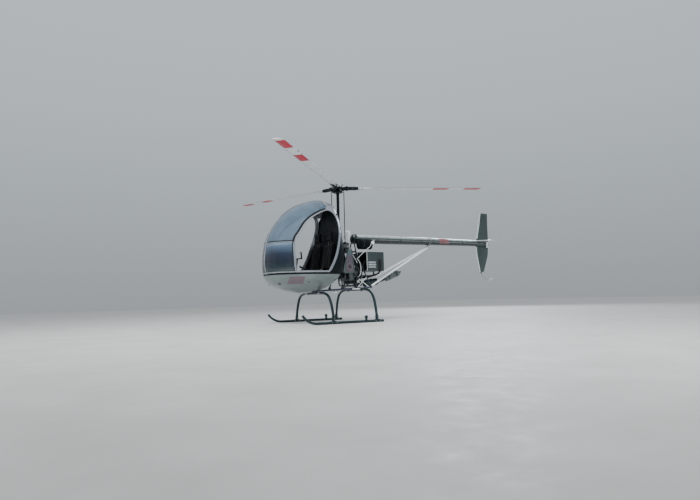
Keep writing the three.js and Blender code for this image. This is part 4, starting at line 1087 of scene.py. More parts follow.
def build_tail(looks):
  profile = [(.088, -.322), (.0935, -.3205), (.095, -.323)]
  profile += [(boom_radius(-d), -d) for d in np.linspace(.4, 4.03, 24)]
  profile += [(.073, -4.04), (.06, -4.04), (.06, -4.02), (.084, -.36), (.088, -.322)]
  turned(profile, (0, 0, BOOM_AXIS), AHEAD, "boom", 64)
  # Where the fins stand, the boom is painted as they are.
  root = -3.8
  band((-4.0395, 0, BOOM_AXIS), (root, 0, BOOM_AXIS), boom_radius(root) + .001, .004, "fin")
  # Lapped skin joints with a row of rivets on each side.
  for x in (-.62, -1.15, -1.9, -3.02, -3.7):
    r = boom_radius(x)
    band((x - .016, 0, BOOM_AXIS), (x + .016, 0, BOOM_AXIS), r + .0016, .004, "boom")
    for dx in (-.01, .01):
      for k in range(28):
        angle = 2*pi*k/28
        place = (x + dx, (r + .001)*cos(angle), BOOM_AXIS + (r + .001)*sin(angle))
        ball_at(place, .0024, "boom", sides=8)
  # Clamp for the two struts, with its lug and through bolt.
  x, top = STRUT_TOP
  band((x - .03, 0, BOOM_AXIS), (x + .03, 0, BOOM_AXIS), .094, .01, "boom")
  for dx in (-.024, .024):
    band((x + dx - .004, 0, BOOM_AXIS), (x + dx + .004, 0, BOOM_AXIS), .0955, .004, "steel")
  brick((x - .024, -.009, top - .024), (x + .024, .009, BOOM_AXIS - .08), "steel", .003)
  for side in (1, -1):
    bolt((x, side*.0475, top), (0, side, 0), .008)
  # Plain red marker wrapped half round the boom.
  start, end = -2.9, -2.62
  rings = []
  for x in np.linspace(start, end, 9):
    r = boom_radius(x) + .0008
    rings.append([at(x, r*cos(a), BOOM_AXIS + r*sin(a)) for a in np.linspace(-.55, 1.2, 16)])
  faces = [(16*i + j, 16*i + j + 1, 16*i + j + 17,
    16*i + j + 16) for i in range(8) for j in range(15)]
  marker = mesh_piece("marker", [place for one in rings for place in one], faces)
  modify(marker, "SOLIDIFY", thickness=.0014, offset=0)
  keep(coat(smooth(outward(marker), 40), "faded_red"))
  # Push rod for the tail rotor, in guides along the boom's port side.
  pipe((-.42, .104, BOOM_AXIS - .012), (-3.99, .082, BOOM_AXIS - .012), .0055, "steel", sides=16)
  for x in (-.9, -1.5, -2.1, -2.7, -3.3, -3.86):
    y = .104 - .022*(x + .42)/(-3.99 + .42)
    brick((x - .01, boom_radius(x) - .004, BOOM_AXIS - .022), (x + .01, y + .009, BOOM_AXIS - .002),
      "plastic", .002)
  deliver("tail_boom", "silver_paint")

  foot = Vector((-.54, RAIL_Y + .002, .649))
  head = Vector((STRUT_TOP[0], .028, STRUT_TOP[1]))
  along = (head - foot).normalized()
  pipe(foot, head - .075*along, .019, "strut", sides=32)
  pipe(head - .08*along, head - .018*along, .019, "strut", end_radius=.0125, sides=32)
  brick((head.x - .024, .012, head.z - .018), (head.x + .026, .026, head.z + .018), "strut", .004)
  pipe(foot - .004*along, foot + .06*along, .023, "dark_steel", end_radius=.0195, sides=32)
  for share in (.015, .985):
    place = foot.lerp(head, share)
    band(place - .007*along, place + .007*along, .0215, .003, "dark_steel")
  bolt((foot.x, foot.y + .021, foot.z), PORT, .008)
  deliver_pair("boom_strut", "bright_steel")

  for name, rows in (("fin_upper", FIN_UPPER), ("fin_lower", FIN_LOWER)):
    line = flow([(lead, trail, z) for z, lead, trail in rows], 4)
    rings = [section(lead - trail, FIN_THICKNESS, lead, lambda x, y, z=z: at(x, y, z)) for lead, trail,
      z in line]
    body = coat(smooth(soften_ends(loft(rings)), 40), "fin")
    notch = rod(at(-3.5, 0, BOOM_AXIS), at(-4.06, 0, BOOM_AXIS), .078, sides=40)
    cut(body, notch)
    housing = rod(at(-4.04, 0, BOOM_AXIS), at(TAIL_X - .065, 0, 1.65), .052, sides=40)
    cut(body, housing)
    keep(body)
    # Pale leading edge cap, whose pale paint is a painted highlight along the leading edge, and the rivet
    # lines of the ribs.
    edge = [(lead, lead - trail, z) for lead, trail, z in line if abs(z - BOOM_AXIS) > .085]
    edge_cap(edge, lambda x, y, z: at(x, y, z), FIN_THICKNESS)
    trail_edge = [(trail + .003, 0, z) for _, trail, z in line if abs(z - BOOM_AXIS) > .06]
    hose(trail_edge, .0022, "pale", 1)
    lowest, highest = rows[0][0], rows[-1][0]
    for k in range(1, 7):
      z = lowest + (highest - lowest)*k/7
      if abs(z - BOOM_AXIS) < .12:
        continue
      lead = float(np.interp(z, [row[0] for row in rows], [row[1] for row in rows]))
      trail = float(np.interp(z, [row[0] for row in rows], [row[2] for row in rows]))
      for i in range(10):
        share = .08 + .09*i
        half = FIN_THICKNESS*wing_half(share)
        for side in (1, -1):
          place = (lead - share*(lead - trail), side*half, z)
          ball_at(place, .0026, "fin", sides=8)
    deliver(name, "grey_paint")

  rings = []
  for i in range(9):
    share = i/8
    y = .04 + .245*share
    lead = -3.7 - .285*share
    chord = .41 - .185*share
    rings.append(section(chord, .026, lead, lambda x, z, y=y: at(x, y, 1.735 + z)))
  body = smooth(loft(rings), 40)
  cut(body, rod(at(-3.5, 0, BOOM_AXIS), at(-4.2, 0, BOOM_AXIS), .0765, sides=40))
  keep(coat(body, "strut"))
  hose([(-3.703, .055, 1.735), (-3.984, .283, 1.735)], .0055, "pale", 2)
  hose([(-3.984, .284, 1.735), (-4.208, .284, 1.735)], .0068, "pale", 2)
  hose([(-4.108, .09, 1.735), (-4.207, .283, 1.735)], .0025, "pale", 2)
  for i in range(7):
    ball_at((-3.8 - .045*i, .135, 1.7475 - .0006*i), .0026, "strut", sides=8)
  deliver("stabiliser", "grey_paint")

  turned([(0.0, 0), (.076, 0), (.076, .01), (.07, .013), (.055, .016), (0.0, .03)], (-4.0405, 0, BOOM_AXIS),
    (-1, 0, -.02), "cast")
  pipe((-4.05, 0, BOOM_AXIS - .001), (-4.16, 0, 1.655), .048, "cast", sides=40, rounding=.004)
  ball_at((TAIL_X, 0, 1.65), .058, "cast", (1, .98, 1.05), 32)
  turned([(0, 0), (.052, 0), (.055, .003), (.055, .012), (.048, .018), (.036, .03), (.034, .034),
    (.034, .13), (.04, .134), (.04, .144), (.03, .15), (.022, .156), (0.0, .156)], (TAIL_X, -.022, 1.65),
    STARBOARD, "cast")
  turned([(0, 0), (.02, .001), (.032, .012), (.033, .03), (.033, .118), (.03, .132), (.016, .142),
    (0, .143)], (CAPSULE_X, .055, 1.575), UP, "filler")
  band((CAPSULE_X, .055, 1.612), (CAPSULE_X, .055, 1.62), .0345, .003, "steel")
  pipe((-4.19, 0, 1.66), (-4.2115, 0, 1.652), .03, "cast", sides=32, rounding=.003)
  pipe((TAIL_X + .01, 0.0, 1.7), (TAIL_X + .01, 0.0, 1.722), .01, "steel", rounding=.001)
  bolt_circle((-4.052, 0, BOOM_AXIS), AFT, .064, 10, .0048)
  bolt_circle((TAIL_X, -.034, 1.65), STARBOARD, .045, 8, .0038)
  deliver("tail_gearbox", "cast_alloy")

  line = [(-3.932, 0, .99), (-3.945, 0, .94), (-4.0, 0, .868), (-4.09, 0, .795), (-4.195, 0, .766),
    (-4.285, 0, .808)]
  hose(line, .01, "steel", 10)
  ball_at((-4.288, 0, .812), .017, "white", sides=24)
  band((-3.9315, 0, .99), (-3.944, 0, .945), .0125, .004, "dark_steel")
  deliver("tail_skid", "bright_steel")


def soften_ends(piece):
  return soften(piece, .004, 2, 60)


CRANK = (-.23, .905)
CYLINDER_Y, CYLINDER_REACH = .105, .222
OUTPUT = (-.047, 1.071)
PULLEY = (-.058, 1.44)
GUARD = ((-.02, .94), (.072, .94), (.102, .966), (.096, 1.05), (-.014, 1.41), (-.028, 1.452),
  (-.058, 1.468), (-.09, 1.45), (-.102, 1.41), (-.15, 1.05), (-.148, .966), (-.118, .94), (-.02, .94))
GUARD_BACK, GUARD_FACE, GUARD_RIM = .332, .362, .013
RADIATOR_LOW, RADIATOR_HIGH = (-.91, -.3, .985), (-.486, .3, 1.385)
DRUM_Y, DRUM_Z, DRUM_FRONT, DRUM_REAR = .212, 1.552, -.352, -.64
DRUM_FILLER = -.618
COLLECTOR = (-.43, .06, .715)


def row(piece, count, step):
  """Repeats a piece along a step."""
  return modify(piece, "ARRAY", count=count, use_relative_offset=False, use_constant_offset=True,
    constant_offset_displace=step)


def flipped(piece, x=1, y=1):
  """A copy mirrored about the crankshaft, along x, or about the middle plane, along y."""
  centre = at(0, 0, 0)
  mirror = Matrix.Diagonal((x, y, 1, 1))
  return copy_of(piece, Matrix.Translation(centre) @ mirror @ Matrix.Translation(-centre))


def one_cylinder(looks):
  """The front port cylinder: barrel, fins, head, valve cover and plugs."""
  start = (.095, CYLINDER_Y, 0)
  pipe(start, (.2, CYLINDER_Y, 0), .056, "dark_cast", sides=48)
  step = .066/looks.cylinder_fins
  fin = pipe((.111, CYLINDER_Y, 0), (.111 + .42*step, CYLINDER_Y, 0), .07, "dark_cast", sides=48,
    rounding=.0008)
  row(fin, looks.cylinder_fins, (step, 0, 0))
  brick((.178, CYLINDER_Y - .068, -.066), (.206, CYLINDER_Y + .068, .066), "cast", .007)
  brick((.18, CYLINDER_Y - .0675, -.06), (.204, CYLINDER_Y - .064, .06), "cast", .001)
  brick((.206, CYLINDER_Y - .058, -.056), (.2215, CYLINDER_Y + .058, .056), "night", .007)
  for y in (-.046, .046):
    for z in (-.044, .044):
      bolt((.2185, CYLINDER_Y + y, z), AHEAD, .0036)
  for y in (-.02, .024):
    plug = (.19, CYLINDER_Y + y, .06)
    pipe(plug, (plug[0], plug[1], plug[2] + .024), .0075, "white", sides=16)
    pipe((plug[0], plug[1], plug[2] + .02), (plug[0], plug[1], plug[2] + .046), .0095, "rubber", sides=20,
      rounding=.002)
  return gather("cylinder")


def build_engine(looks):
  measure_from(CRANK[0], 0, CRANK[1])
  out_x, out_z = OUTPUT[0] - CRANK[0], OUTPUT[1] - CRANK[1]
  cylinder = one_cylinder(looks)
  brick((-.105, -.172, -.11), (.105, .172, .11), "cast", .016)
  brick((-.08, -.14, -.178), (.08, .14, -.1), "dark_cast", .012)
  brick((-.1, -.16, -.118), (.1, .16, -.106), "cast", .002)
  brick((out_x - .095, .15, out_z - .13), (out_x + .062, .282, out_z + .062), "cast", .014)
  brick((out_x - .089, .282, out_z - .124), (out_x + .056, .2915, out_z + .056), "cast", .004)
  brick((.06, .09, -.03), (out_x - .06, .2, .15), "cast", .012)
  turned([(.04, 0), (.058, 0), (.056, .006), (.042, .01), (.04, .0395), (0, .0395)], (out_x, .2915, out_z),
    PORT, "dark_steel")
  turned([(0, 0), (.084, 0), (.088, .004), (.088, .052), (.082, .062), (.052, .066), (.048, .069),
    (0, .07)], (0, -.165, 0), STARBOARD, "cast")
  brick((-.06, -.15, .145), (.06, .13, .2045), "cast", .016)
  turned([(.046, 0), (.04, .006), (.04, .05), (.046, .054)], (0, 0, .098), UP, "dark_cast")
  # Ribs cast into the crankcase, and its split line with bolts.
  rib = brick((-.107, -.15, -.09), (-.1035, -.142, .09), "cast", .0015)
  keep(row(flipped(rib, x=-1), 8, (0, .042, 0)))
  row(rib, 8, (0, .042, 0))
  brick((-.004, -.178, -.112), (.004, .178, .114), "cast", .002)
  for i in range(7):
    y = -.15 + .05*i
    bolt((-.085, y, .109), UP, .005)
    bolt((.085, y, .109), UP, .005)
    bolt((-.092, y, -.106), UP, .004)
  bolt_circle((0, -.225, 0), STARBOARD, .07, 10, .0048)
  bolt_circle((out_x - .017, .291, out_z - .034), PORT, .082, 8, .0045)
  # Cylinders in two opposed pairs.
  keep(cylinder)
  keep(flipped(cylinder, x=-1))
  keep(flipped(cylinder, y=-1))
  keep(flipped(cylinder, -1, -1))
  # Intake runners from the plenum, with clamps, and the plug leads to the ignition box.
  for way in (1, -1):
    for side in (1, -1):
      y = side*CYLINDER_Y
      line = [(way*.04, y*.8, .175), (way*.105, y*.9, .178), (way*.165, y, .135),
        (way*.192, y, .05)]
      hose(line, .017, "cast", 8)
      band((way*.066, y*.84, .177), (way*.084, y*.87, .1785), .0195, .003, "steel")
      for offset in (-.02, .024):
        start = (way*.19, side*(CYLINDER_Y + offset), .104)
        lead = [start, (way*.18, start[1]*.98, .15), (way*.12, start[1]*.9, .208),
          (way*.05, -.02 + start[1]*.45, .222), (way*.03, -.03 + start[1]*.36, .212)]
        hose(lead, .0042, "rubber", 6)
  brick((-.046, -.09, .2045), (.046, .05, .232), "plastic", .006)
  for y in (-.078, .038):
    for dx in (-.036, .036):
      bolt((dx, y, .231), UP, .003)
  # Air filter, oil filter, starter and alternator, each a real turned or boxed body.
  turned([(0, 0), (.044, .002), (.048, .01), (.048, .012), (.044, .016), (.044, .07), (.048, .074),
    (.048, .084), (.04, .09), (0, .092)], (0, -.15, .175), (0, -1, .05), "night")
  turned([(0, 0), (.03, .002), (.034, .008), (.034, .066), (.031, .074), (.014, .078), (0, .078)],
    (.1, -.1, -.07), (.8, -.45, -.4), "white")
  turned([(0, 0), (.031, .001), (.034, .005), (.034, .092), (.03, .098), (.016, .102), (0, .102)],
    (-.05, .16, -.076), PORT, "dark_steel")
  turned([(0, 0), (.04, .001), (.044, .006), (.044, .04), (.046, .042), (.046, .05), (.04, .06),
    (.018, .064), (0, .064)], (-.03, .17, .05), PORT, "cast")
  # Rubber mounts down to the frame rails.
  for side in (1, -1):
    pipe((0, side*.15, -.08), (.01, side*.262, -.267), .014, "truss")
    pipe((.006, side*.225, -.1885), (.008, side*.25, -.2445), .023, "rubber", rounding=.003)
  # Coolant hoses from the heads to the radiator.
  for side, foot in ((1, .19), (-1, -.19)):
    line = [(-.205, side*.16, .056), (-.235, side*.176, .12), (-.25, foot, .25), (-.33, foot, .33),
      (-.6, foot, .33)]
    hose(line, .0135, "rubber", 8)
  # Three pale hoses that show beside the belt guard: from the top pulley, from the drum, and down to the
  # engine.
  meet = (-.026, .3, .329)
  for line in ([(.17, .296, .595), (.194, .3, .564), (.09, .302, .42), (.005, .3, .295),
      (-.032, .292, .245)], [(-.376, .322, .67), (-.33, .33, .595), (-.22, .318, .503), (-.11, .306, .407),
      meet], [meet, (-.07, .301, .275), (-.1, .3, .205), (-.109, .3, .104), (-.095, .296, .015),
      (-.07, .25, -.037), (-.055, .165, -.043)]):
    hose(line, .0075, "pale", 8)
    for place in (line[1], line[-2]):
      ball_at(place, .0115, "steel", sides=16)
  measure_from()
  deliver("engine_block", "cast_alloy")


def guard_outline(inset=0.0):
  outline = [(place.x, place.y) for place in flow([(x, z, 0) for x, z in GUARD], 5)][:-1]
  grown = []
  for i, (x, z) in enumerate(outline):
    before, after = outline[i - 1], outline[(i + 1) % len(outline)]
    along = Vector((after[0] - before[0], after[1] - before[1])).normalized()
    grown.append((x - inset*along.y, z + inset*along.x))
  return grown


def build_guard(looks):
  plate(guard_outline(), GUARD_BACK, GUARD_FACE - .008, "guard_edge", .002)
  rim = slab(guard_outline(), GUARD_BACK + .01, GUARD_FACE, 0)
  cut(rim, slab(guard_outline(GUARD_RIM), GUARD_BACK, GUARD_FACE + .05, 0))
  keep(coat(soften(rim, .0025, 2), "guard_edge"))
  panel = slab(guard_outline(GUARD_RIM + .006), GUARD_FACE - .012, GUARD_FACE - .005, 0)
  cut(panel, zone((-6, .052), z=(.9, 1.3)), "INTERSECT")
  keep(coat(soften(panel, .0015, 2), "guard"))
  for inset in (.0035, GUARD_RIM - .003):
    line = [at(x, GUARD_FACE - .001, z) for x, z in guard_outline(inset)]
    keep(coat(tube(line, .0022, closed=True), "guard_edge"))
  # The covers of both shafts.
  x, z = OUTPUT
  turned([(0, 0), (.046, 0), (.046, .018), (.042, .02), (.038, .015), (.022, .015), (.02, .0195),
    (0, .0195)], (x, GUARD_FACE - .02, z), PORT, "guard", 56)
  keep(coat(ring(at(x, GUARD_FACE - .008, z), PORT, .062, .0032, 56), "pale"))
  turned([(0, 0), (.02, 0), (.02, .0015), (0, .0015)], (x, GUARD_FACE - .001, z), PORT, "plum", 40)
  bolt_circle((x, GUARD_FACE - .005, z), PORT, .031, 6, .004)
  x, z = PULLEY
  turned([(0.0, 0), (.02, 0), (.02, .02), (.016, .024), (.007, .024), (0, .02)], (x, .3445, z), PORT,
    "steel")
  keep(coat(ring(at(x, GUARD_FACE - .007, z), PORT, .0225, .0035, 48), "bright"))
  pipe((x, .0955, z), (x, .345, z), .026, "steel", sides=36, rounding=.001)
  band((x, .17, z), (x, .206, z), .04, .016, "dark_steel")
  bolt_circle((x, .206, z), PORT, .033, 6, .004)
  for share in (.1, .3, .5, .7, .9):
    index = int(share*len(guard_outline()))
    gx, gz = guard_outline(.0075)[index]
    bolt((gx, GUARD_FACE - .001, gz), PORT, .0038)
  deliver("belt_guard", "grey_paint")


def build_radiator(looks):
  low, high = Vector(RADIATOR_LOW), Vector(RADIATOR_HIGH)
  shroud = box(at(*low), at(*high), 0)
  cut(shroud, zone((low.x + .004, high.x + .1), (low.y + .012, high.y - .012),
    (low.z + .012, high.z - .012)))
  cut(shroud, zone((low.x - .1, high.x), (low.y + .028, high.y - .028), (low.z + .028, high.z - .028)))
  keep(coat(soften(shroud, .005, 3), "shroud"))
  # Core: tanks top and bottom, flat tubes across and fine fins between.
  brick((low.x + .006, low.y + .022, low.z + .022), (low.x + .056, high.y - .022, low.z + .052), "cast")
  brick((low.x + .006, low.y + .022, high.z - .052), (low.x + .056, high.y - .022, high.z - .022), "cast")
  count = looks.radiator_fins
  step = (high.y - low.y - .056)/count
  fin = brick((low.x + .01, low.y + .028, low.z + .05), (low.x + .052, low.y + .0295, high.z - .05),
    "night", 0)
  row(fin, count, (0, step, 0))
  tubes = brick((low.x + .014, low.y + .024, low.z + .06), (low.x + .048, high.y - .024, low.z + .0635),
    "dark_steel", .001)
  row(tubes, 16, (0, 0, .0186))
  # Swaged ribs along the top and sides stiffen the shroud.
  top = pipe((low.x + .03, low.y + .04, high.z - .002), (high.x - .02, low.y + .04, high.z - .002), .005,
    "pale", sides=16, rounding=.002)
  row(top, 14, (0, .04, 0))
  for y in (low.y + .0015, high.y - .0015):
    rib = pipe((low.x + .03, y, low.z + .05), (high.x - .02, y, low.z + .05), .005, "shroud", sides=16,
      rounding=.002)
    row(rib, 3, (0, 0, .055))
  for y in (low.y, high.y):
    side = 1 if y > 0 else -1
    brick((high.x - .012, y - .004, low.z + .002), (high.x - .001, y + .003, high.z - .002), "pale", .001)
    for i in range(6):
      bolt((high.x - .024, y + .0005*side, low.z + .035 + .066*i), (0, side, 0), .0035)
  brick((-.715, high.y - .001, 1.05), (-.52, high.y + .001, 1.186), "label_grey", .0004)
  for z in (1.068, 1.118, 1.164):
    brick((-.708, high.y, z - .012), (-.527, high.y + .0016, z + .012), "label_bar", .0004)
  for side in (1, -1):
    pipe((-.5, side*.25, 1.0), (-.464, side*.206, 1.002), .01, "truss")
    pipe((-.5, side*.25, 1.374), (-.341, side*.132, 1.374), .01, "truss")
  # Coolant hoses to the two rear cylinder heads, clamped at both ends.
  behind = CRANK[0] - CYLINDER_REACH
  for line in ([(-.8, .285, 1.24), (-.8, .328, 1.215), (-.8, .33, 1.1), (-.792, .324, .99),
      (-.75, .285, .925), (-.65, .215, .89), (-.54, .15, .885), (behind - .001, .124, .891)],
      [(-.88, -.08, .99), (-.88, -.08, .925), (-.79, -.11, .88), (-.62, -.14, .865),
      (behind - .001, -.11, .88)]):
    hose(line, .019, "rubber", 12)
    for end, inner in ((line[0], line[1]), (line[-1], line[-2])):
      aim = (Vector(inner) - Vector(end)).normalized()
      foot = Vector(end) + .018*aim
      band(foot, foot + .01*aim, .0215, .003, "steel")
  # Filler neck and cap.
  turned([(0, 0), (.02, 0), (.02, -.012), (.026, -.013), (.026, -.004), (.022, 0.0), (0, .001)],
    (-.87, -.12, 1.3855), UP, "steel")
  deliver("radiator", "cast_alloy")


def build_drum(looks):
  long = DRUM_FRONT - DRUM_REAR
  profile = [(0, 0), (.09, 0), (.098, .002), (.1065, .01)]
  for share in (.02, .34, .64, .94):
    along = share*long + .006
    profile += [(.1068, along - .0065), (.112, along - .004), (.112, along + .004), (.1068, along + .0065)]
  profile = [place for place in profile if place[1] <= long]
  profile += [(.1065, long - .008), (.1, long - .001), (0, long)]
  profile = sorted(profile, key=lambda place: place[1])
  turned(profile, (DRUM_FRONT, DRUM_Y, DRUM_Z), AFT, "night", 56)
  # Fine corrugations between the ribs.
  for i in range(22):
    x = DRUM_FRONT - .02 - .0118*i
    keep(coat(ring(at(x, DRUM_Y, DRUM_Z), AHEAD, .1062, .0024, 56, 8), "night"))
  for x in (-.43, -.58):
    band((x - .01, DRUM_Y, DRUM_Z), (x + .01, DRUM_Y, DRUM_Z), .1105, .004, "dark_steel")
    brick((x - .016, .08, DRUM_Z + .03), (x + .016, DRUM_Y - .085, DRUM_Z + .06), "truss", .003)
  reach = .092
  neck = (DRUM_FILLER, DRUM_Y + reach, DRUM_Z + .18*reach)
  turned([(.036, 0), (.03, .008), (.026, .01), (.026, .032), (.034, .034), (.034, .052), (.029, .0565),
    (0, .0565)], neck, (0, 1, .18), "filler", 40)
  for k in range(16):
    around = Matrix.Rotation(2*pi*k/16, 3, Vector((0, 1, .18)).normalized()) @ Vector((.0342, 0, 0))
    foot = Vector(neck) + Vector((0, .037, .0066)) + around
    pipe(foot, foot + Vector((0, .012, .0022)), .0022, "filler", sides=8)
  deliver("drum_tank", "dark_paint")


def build_exhaust(looks):
  crank_x, crank_z = CRANK
  line = [COLLECTOR, (-.56, .064, .718), (-.8, .085, .75), (-.96, .098, .79), (-1.085, .1, .832)]
  hose(line, .027, "heat", 10)
  turned([(0, 0), (.038, 0), (.04, .003), (.038, .016), (.03, .034), (.0275, .036), (0, .036)],
    (COLLECTOR[0] + .03, COLLECTOR[1], COLLECTOR[2] - .001), (-1, 0, .03), "heat")
  # A wide chamber on the way to the muffler.
  start, end = Vector((-.51, .062, .726)), Vector((-.88, .092, .778))
  long = (end - start).length
  profile = [(.027, 0), (.046, .002), (.048, .01), (.068, .026), (.0735, .034), (.0735, .09), (.0712, .094),
    (.0712, .1), (.0735, .104), (.0735, .236), (.0712, .24), (.0712, .246), (.0735, .25),
    (.0735, long - .036), (.068, long - .028), (.048, long - .01), (.046, long - .002), (.027, long)]
  turned(profile, start, end - start, "skid", 56)
  for share in (.35, .5, .65):
    bolt(start.lerp(end, share) + Vector((0, .0728, 0)), PORT, .004)
  for x, y, z in ((-.484, .062, .716), (-.905, .0945, .772)):
    band((x + .01, y, z - .001), (x - .01, y + .001, z + .002), .0315, .005, "steel")
  for way in (1, -1):
    for side in (1, -1):
      port_x = crank_x + way*(CYLINDER_REACH - .024)
      line = [(port_x, side*CYLINDER_Y, crank_z - .0665), (port_x, side*CYLINDER_Y, crank_z - .12),
        (port_x + (-.06 if way > 0 else .01), side*CYLINDER_Y*1.5, .7), (-.36, side*.07 + .03, .692),
        (COLLECTOR[0] + .02, COLLECTOR[1], COLLECTOR[2])]
      hose(line, .0168, "heat", 10)
      top = (port_x, side*CYLINDER_Y, crank_z - .0665)
      band(top, (top[0], top[1], top[2] - .007), .027, .011, "steel")
      for dx in (-.0215, .0215):
        bolt((top[0] + dx, top[1], top[2] - .006), (0, 0, -1), .0038)
  deliver("exhaust_pipe", "bright_steel")

  start, end = Vector((-1.06, .1, .824)), Vector((-1.416, .1, .962))
  long = (end - start).length
  profile = [(.03, 0.0), (.034, -.001), (.058, .003), (.064, .012)]
  for i in range(9):
    along = .034 + .038*i
    profile += [(.0635, along - .012), (.066, along - .008), (.066, along + .008), (.0635, along + .012)]
  profile = [place for place in profile if place[1] < long - .014]
  profile += [(.064, long - .012), (.058, long - .002), (.026, long)]
  turned(profile, start, end - start, "muffler", 56)
  for share in (.22, .76):
    place = start.lerp(end, share)
    along = (end - start).normalized()
    band(place - .009*along, place + .009*along, .0685, .004, "dark_steel")
    bolt(place + Vector((0, .069, 0)), PORT, .005)
  tail = (Vector((-1.4, .1, .956)), Vector((-1.462, .1, .98)))
  long = (tail[1] - tail[0]).length
  turned([(.024, 0), (.024, long), (.0215, long), (.0215, .01), (.024, 0.0)], tail[0], tail[1] - tail[0],
    "heat", 40)
  turned([(0.0, 0), (.0214, 0)], start.lerp(end, .99), end - start, "night", 32)
  band(start - .012*(end - start).normalized(), start + .004*(end - start).normalized(), .034, .006,
    "steel")
  deliver("muffler", "bright_steel")


def build_gearbox(looks):
  brick((-.19, -.095, DECK + .0145), (.1, .095, 1.585), "cast", .014)
  brick((-.26, -.12, DECK + .0145), (.09, .12, DECK + .034), "dark_cast", .003)
  brick((-.196, -.1, 1.5), (.104, .1, 1.512), "cast", .003)
  turned([(0.0, 0), (.112, 0), (.112, .01), (.098, .014), (.092, .02), (.066, .1), (.062, .108),
    (.064, .112), (.048, .116), (.048, .1345), (0, .1345)], (0, 0, 1.565), UP, "cast", 56)
  for k in range(8):
    way = 45*(k + .5)
    pipe(polar(way, .086, 1.58), polar(way, .062, 1.664), .0055, "cast", sides=12)
  bolt_circle((0, 0, 1.575), UP, .103, 12, .005)
  bolt_circle((0, 0, 1.677), UP, .055, 8, .004)
  rib = brick((-.192, .0935, 1.41), (-.186, .0985, 1.575), "cast", .001)
  row(rib, 7, (.042, 0, 0))
  keep(mirrored(rib))
  for azimuth in (0, 120, 240):
    x, y = cos(radians(azimuth)), sin(radians(azimuth))
    pipe((.06*x, .06*y, 1.56), (.15*x, .15*y, 1.572), .017, "cast", rounding=.003)
    pipe((.15*x, .15*y, 1.55), (.15*x, .15*y, 1.6), .018, "dark_steel", rounding=.003)
  for x in (-.24, -.205, .07):
    for side in (1, -1):
      bolt((x, side*.108, DECK + .033), UP, .006)
  # Oil sight glass and filler.
  turned([(.02, 0), (.02, .006), (.015, .008), (.013, .004), (0, .004)], (.03, .094, 1.45), PORT, "bright",
    32)
  pipe((-.15, -.06, 1.58), (-.15, -.06, 1.606), .016, "night", rounding=.003)
  # The input from the belt drive, and two pale pipe loops behind the mast.
  turned([(.04, 0.0), (.04, .012), (.03, .016), (.03, .01)], (PULLEY[0], .0845, PULLEY[1]), PORT,
    "dark_steel")
  for line in ([(-.095, .06, 1.58), (-.098, .07, 1.7), (-.11, .078, 1.8), (-.15, .082, 1.842),
      (-.19, .078, 1.795), (-.175, .06, 1.58)], [(-.12, -.05, 1.58), (-.15, -.04, 1.7),
      (-.205, -.02, 1.822), (-.25, 0.0, 1.838), (-.262, .01, 1.76), (-.18, .02, 1.58)]):
    hose(line, .0115, "strut", 10)
    for foot in (line[0], line[-1]):
      turned([(.018, 0), (.018, .012), (.013, .018), (.011, .018)], (foot[0], foot[1], 1.584), UP, "steel",
        6)
  deliver("main_gearbox", "cast_alloy")


MAST_FOOT, HUB_HALF, SWASH = 1.7, .038, 2.662


def polar(azimuth, reach, height, aside=0.0):
  angle = radians(azimuth)
  return (reach*cos(angle) - aside*sin(angle), reach*sin(angle) + aside*cos(angle), height)


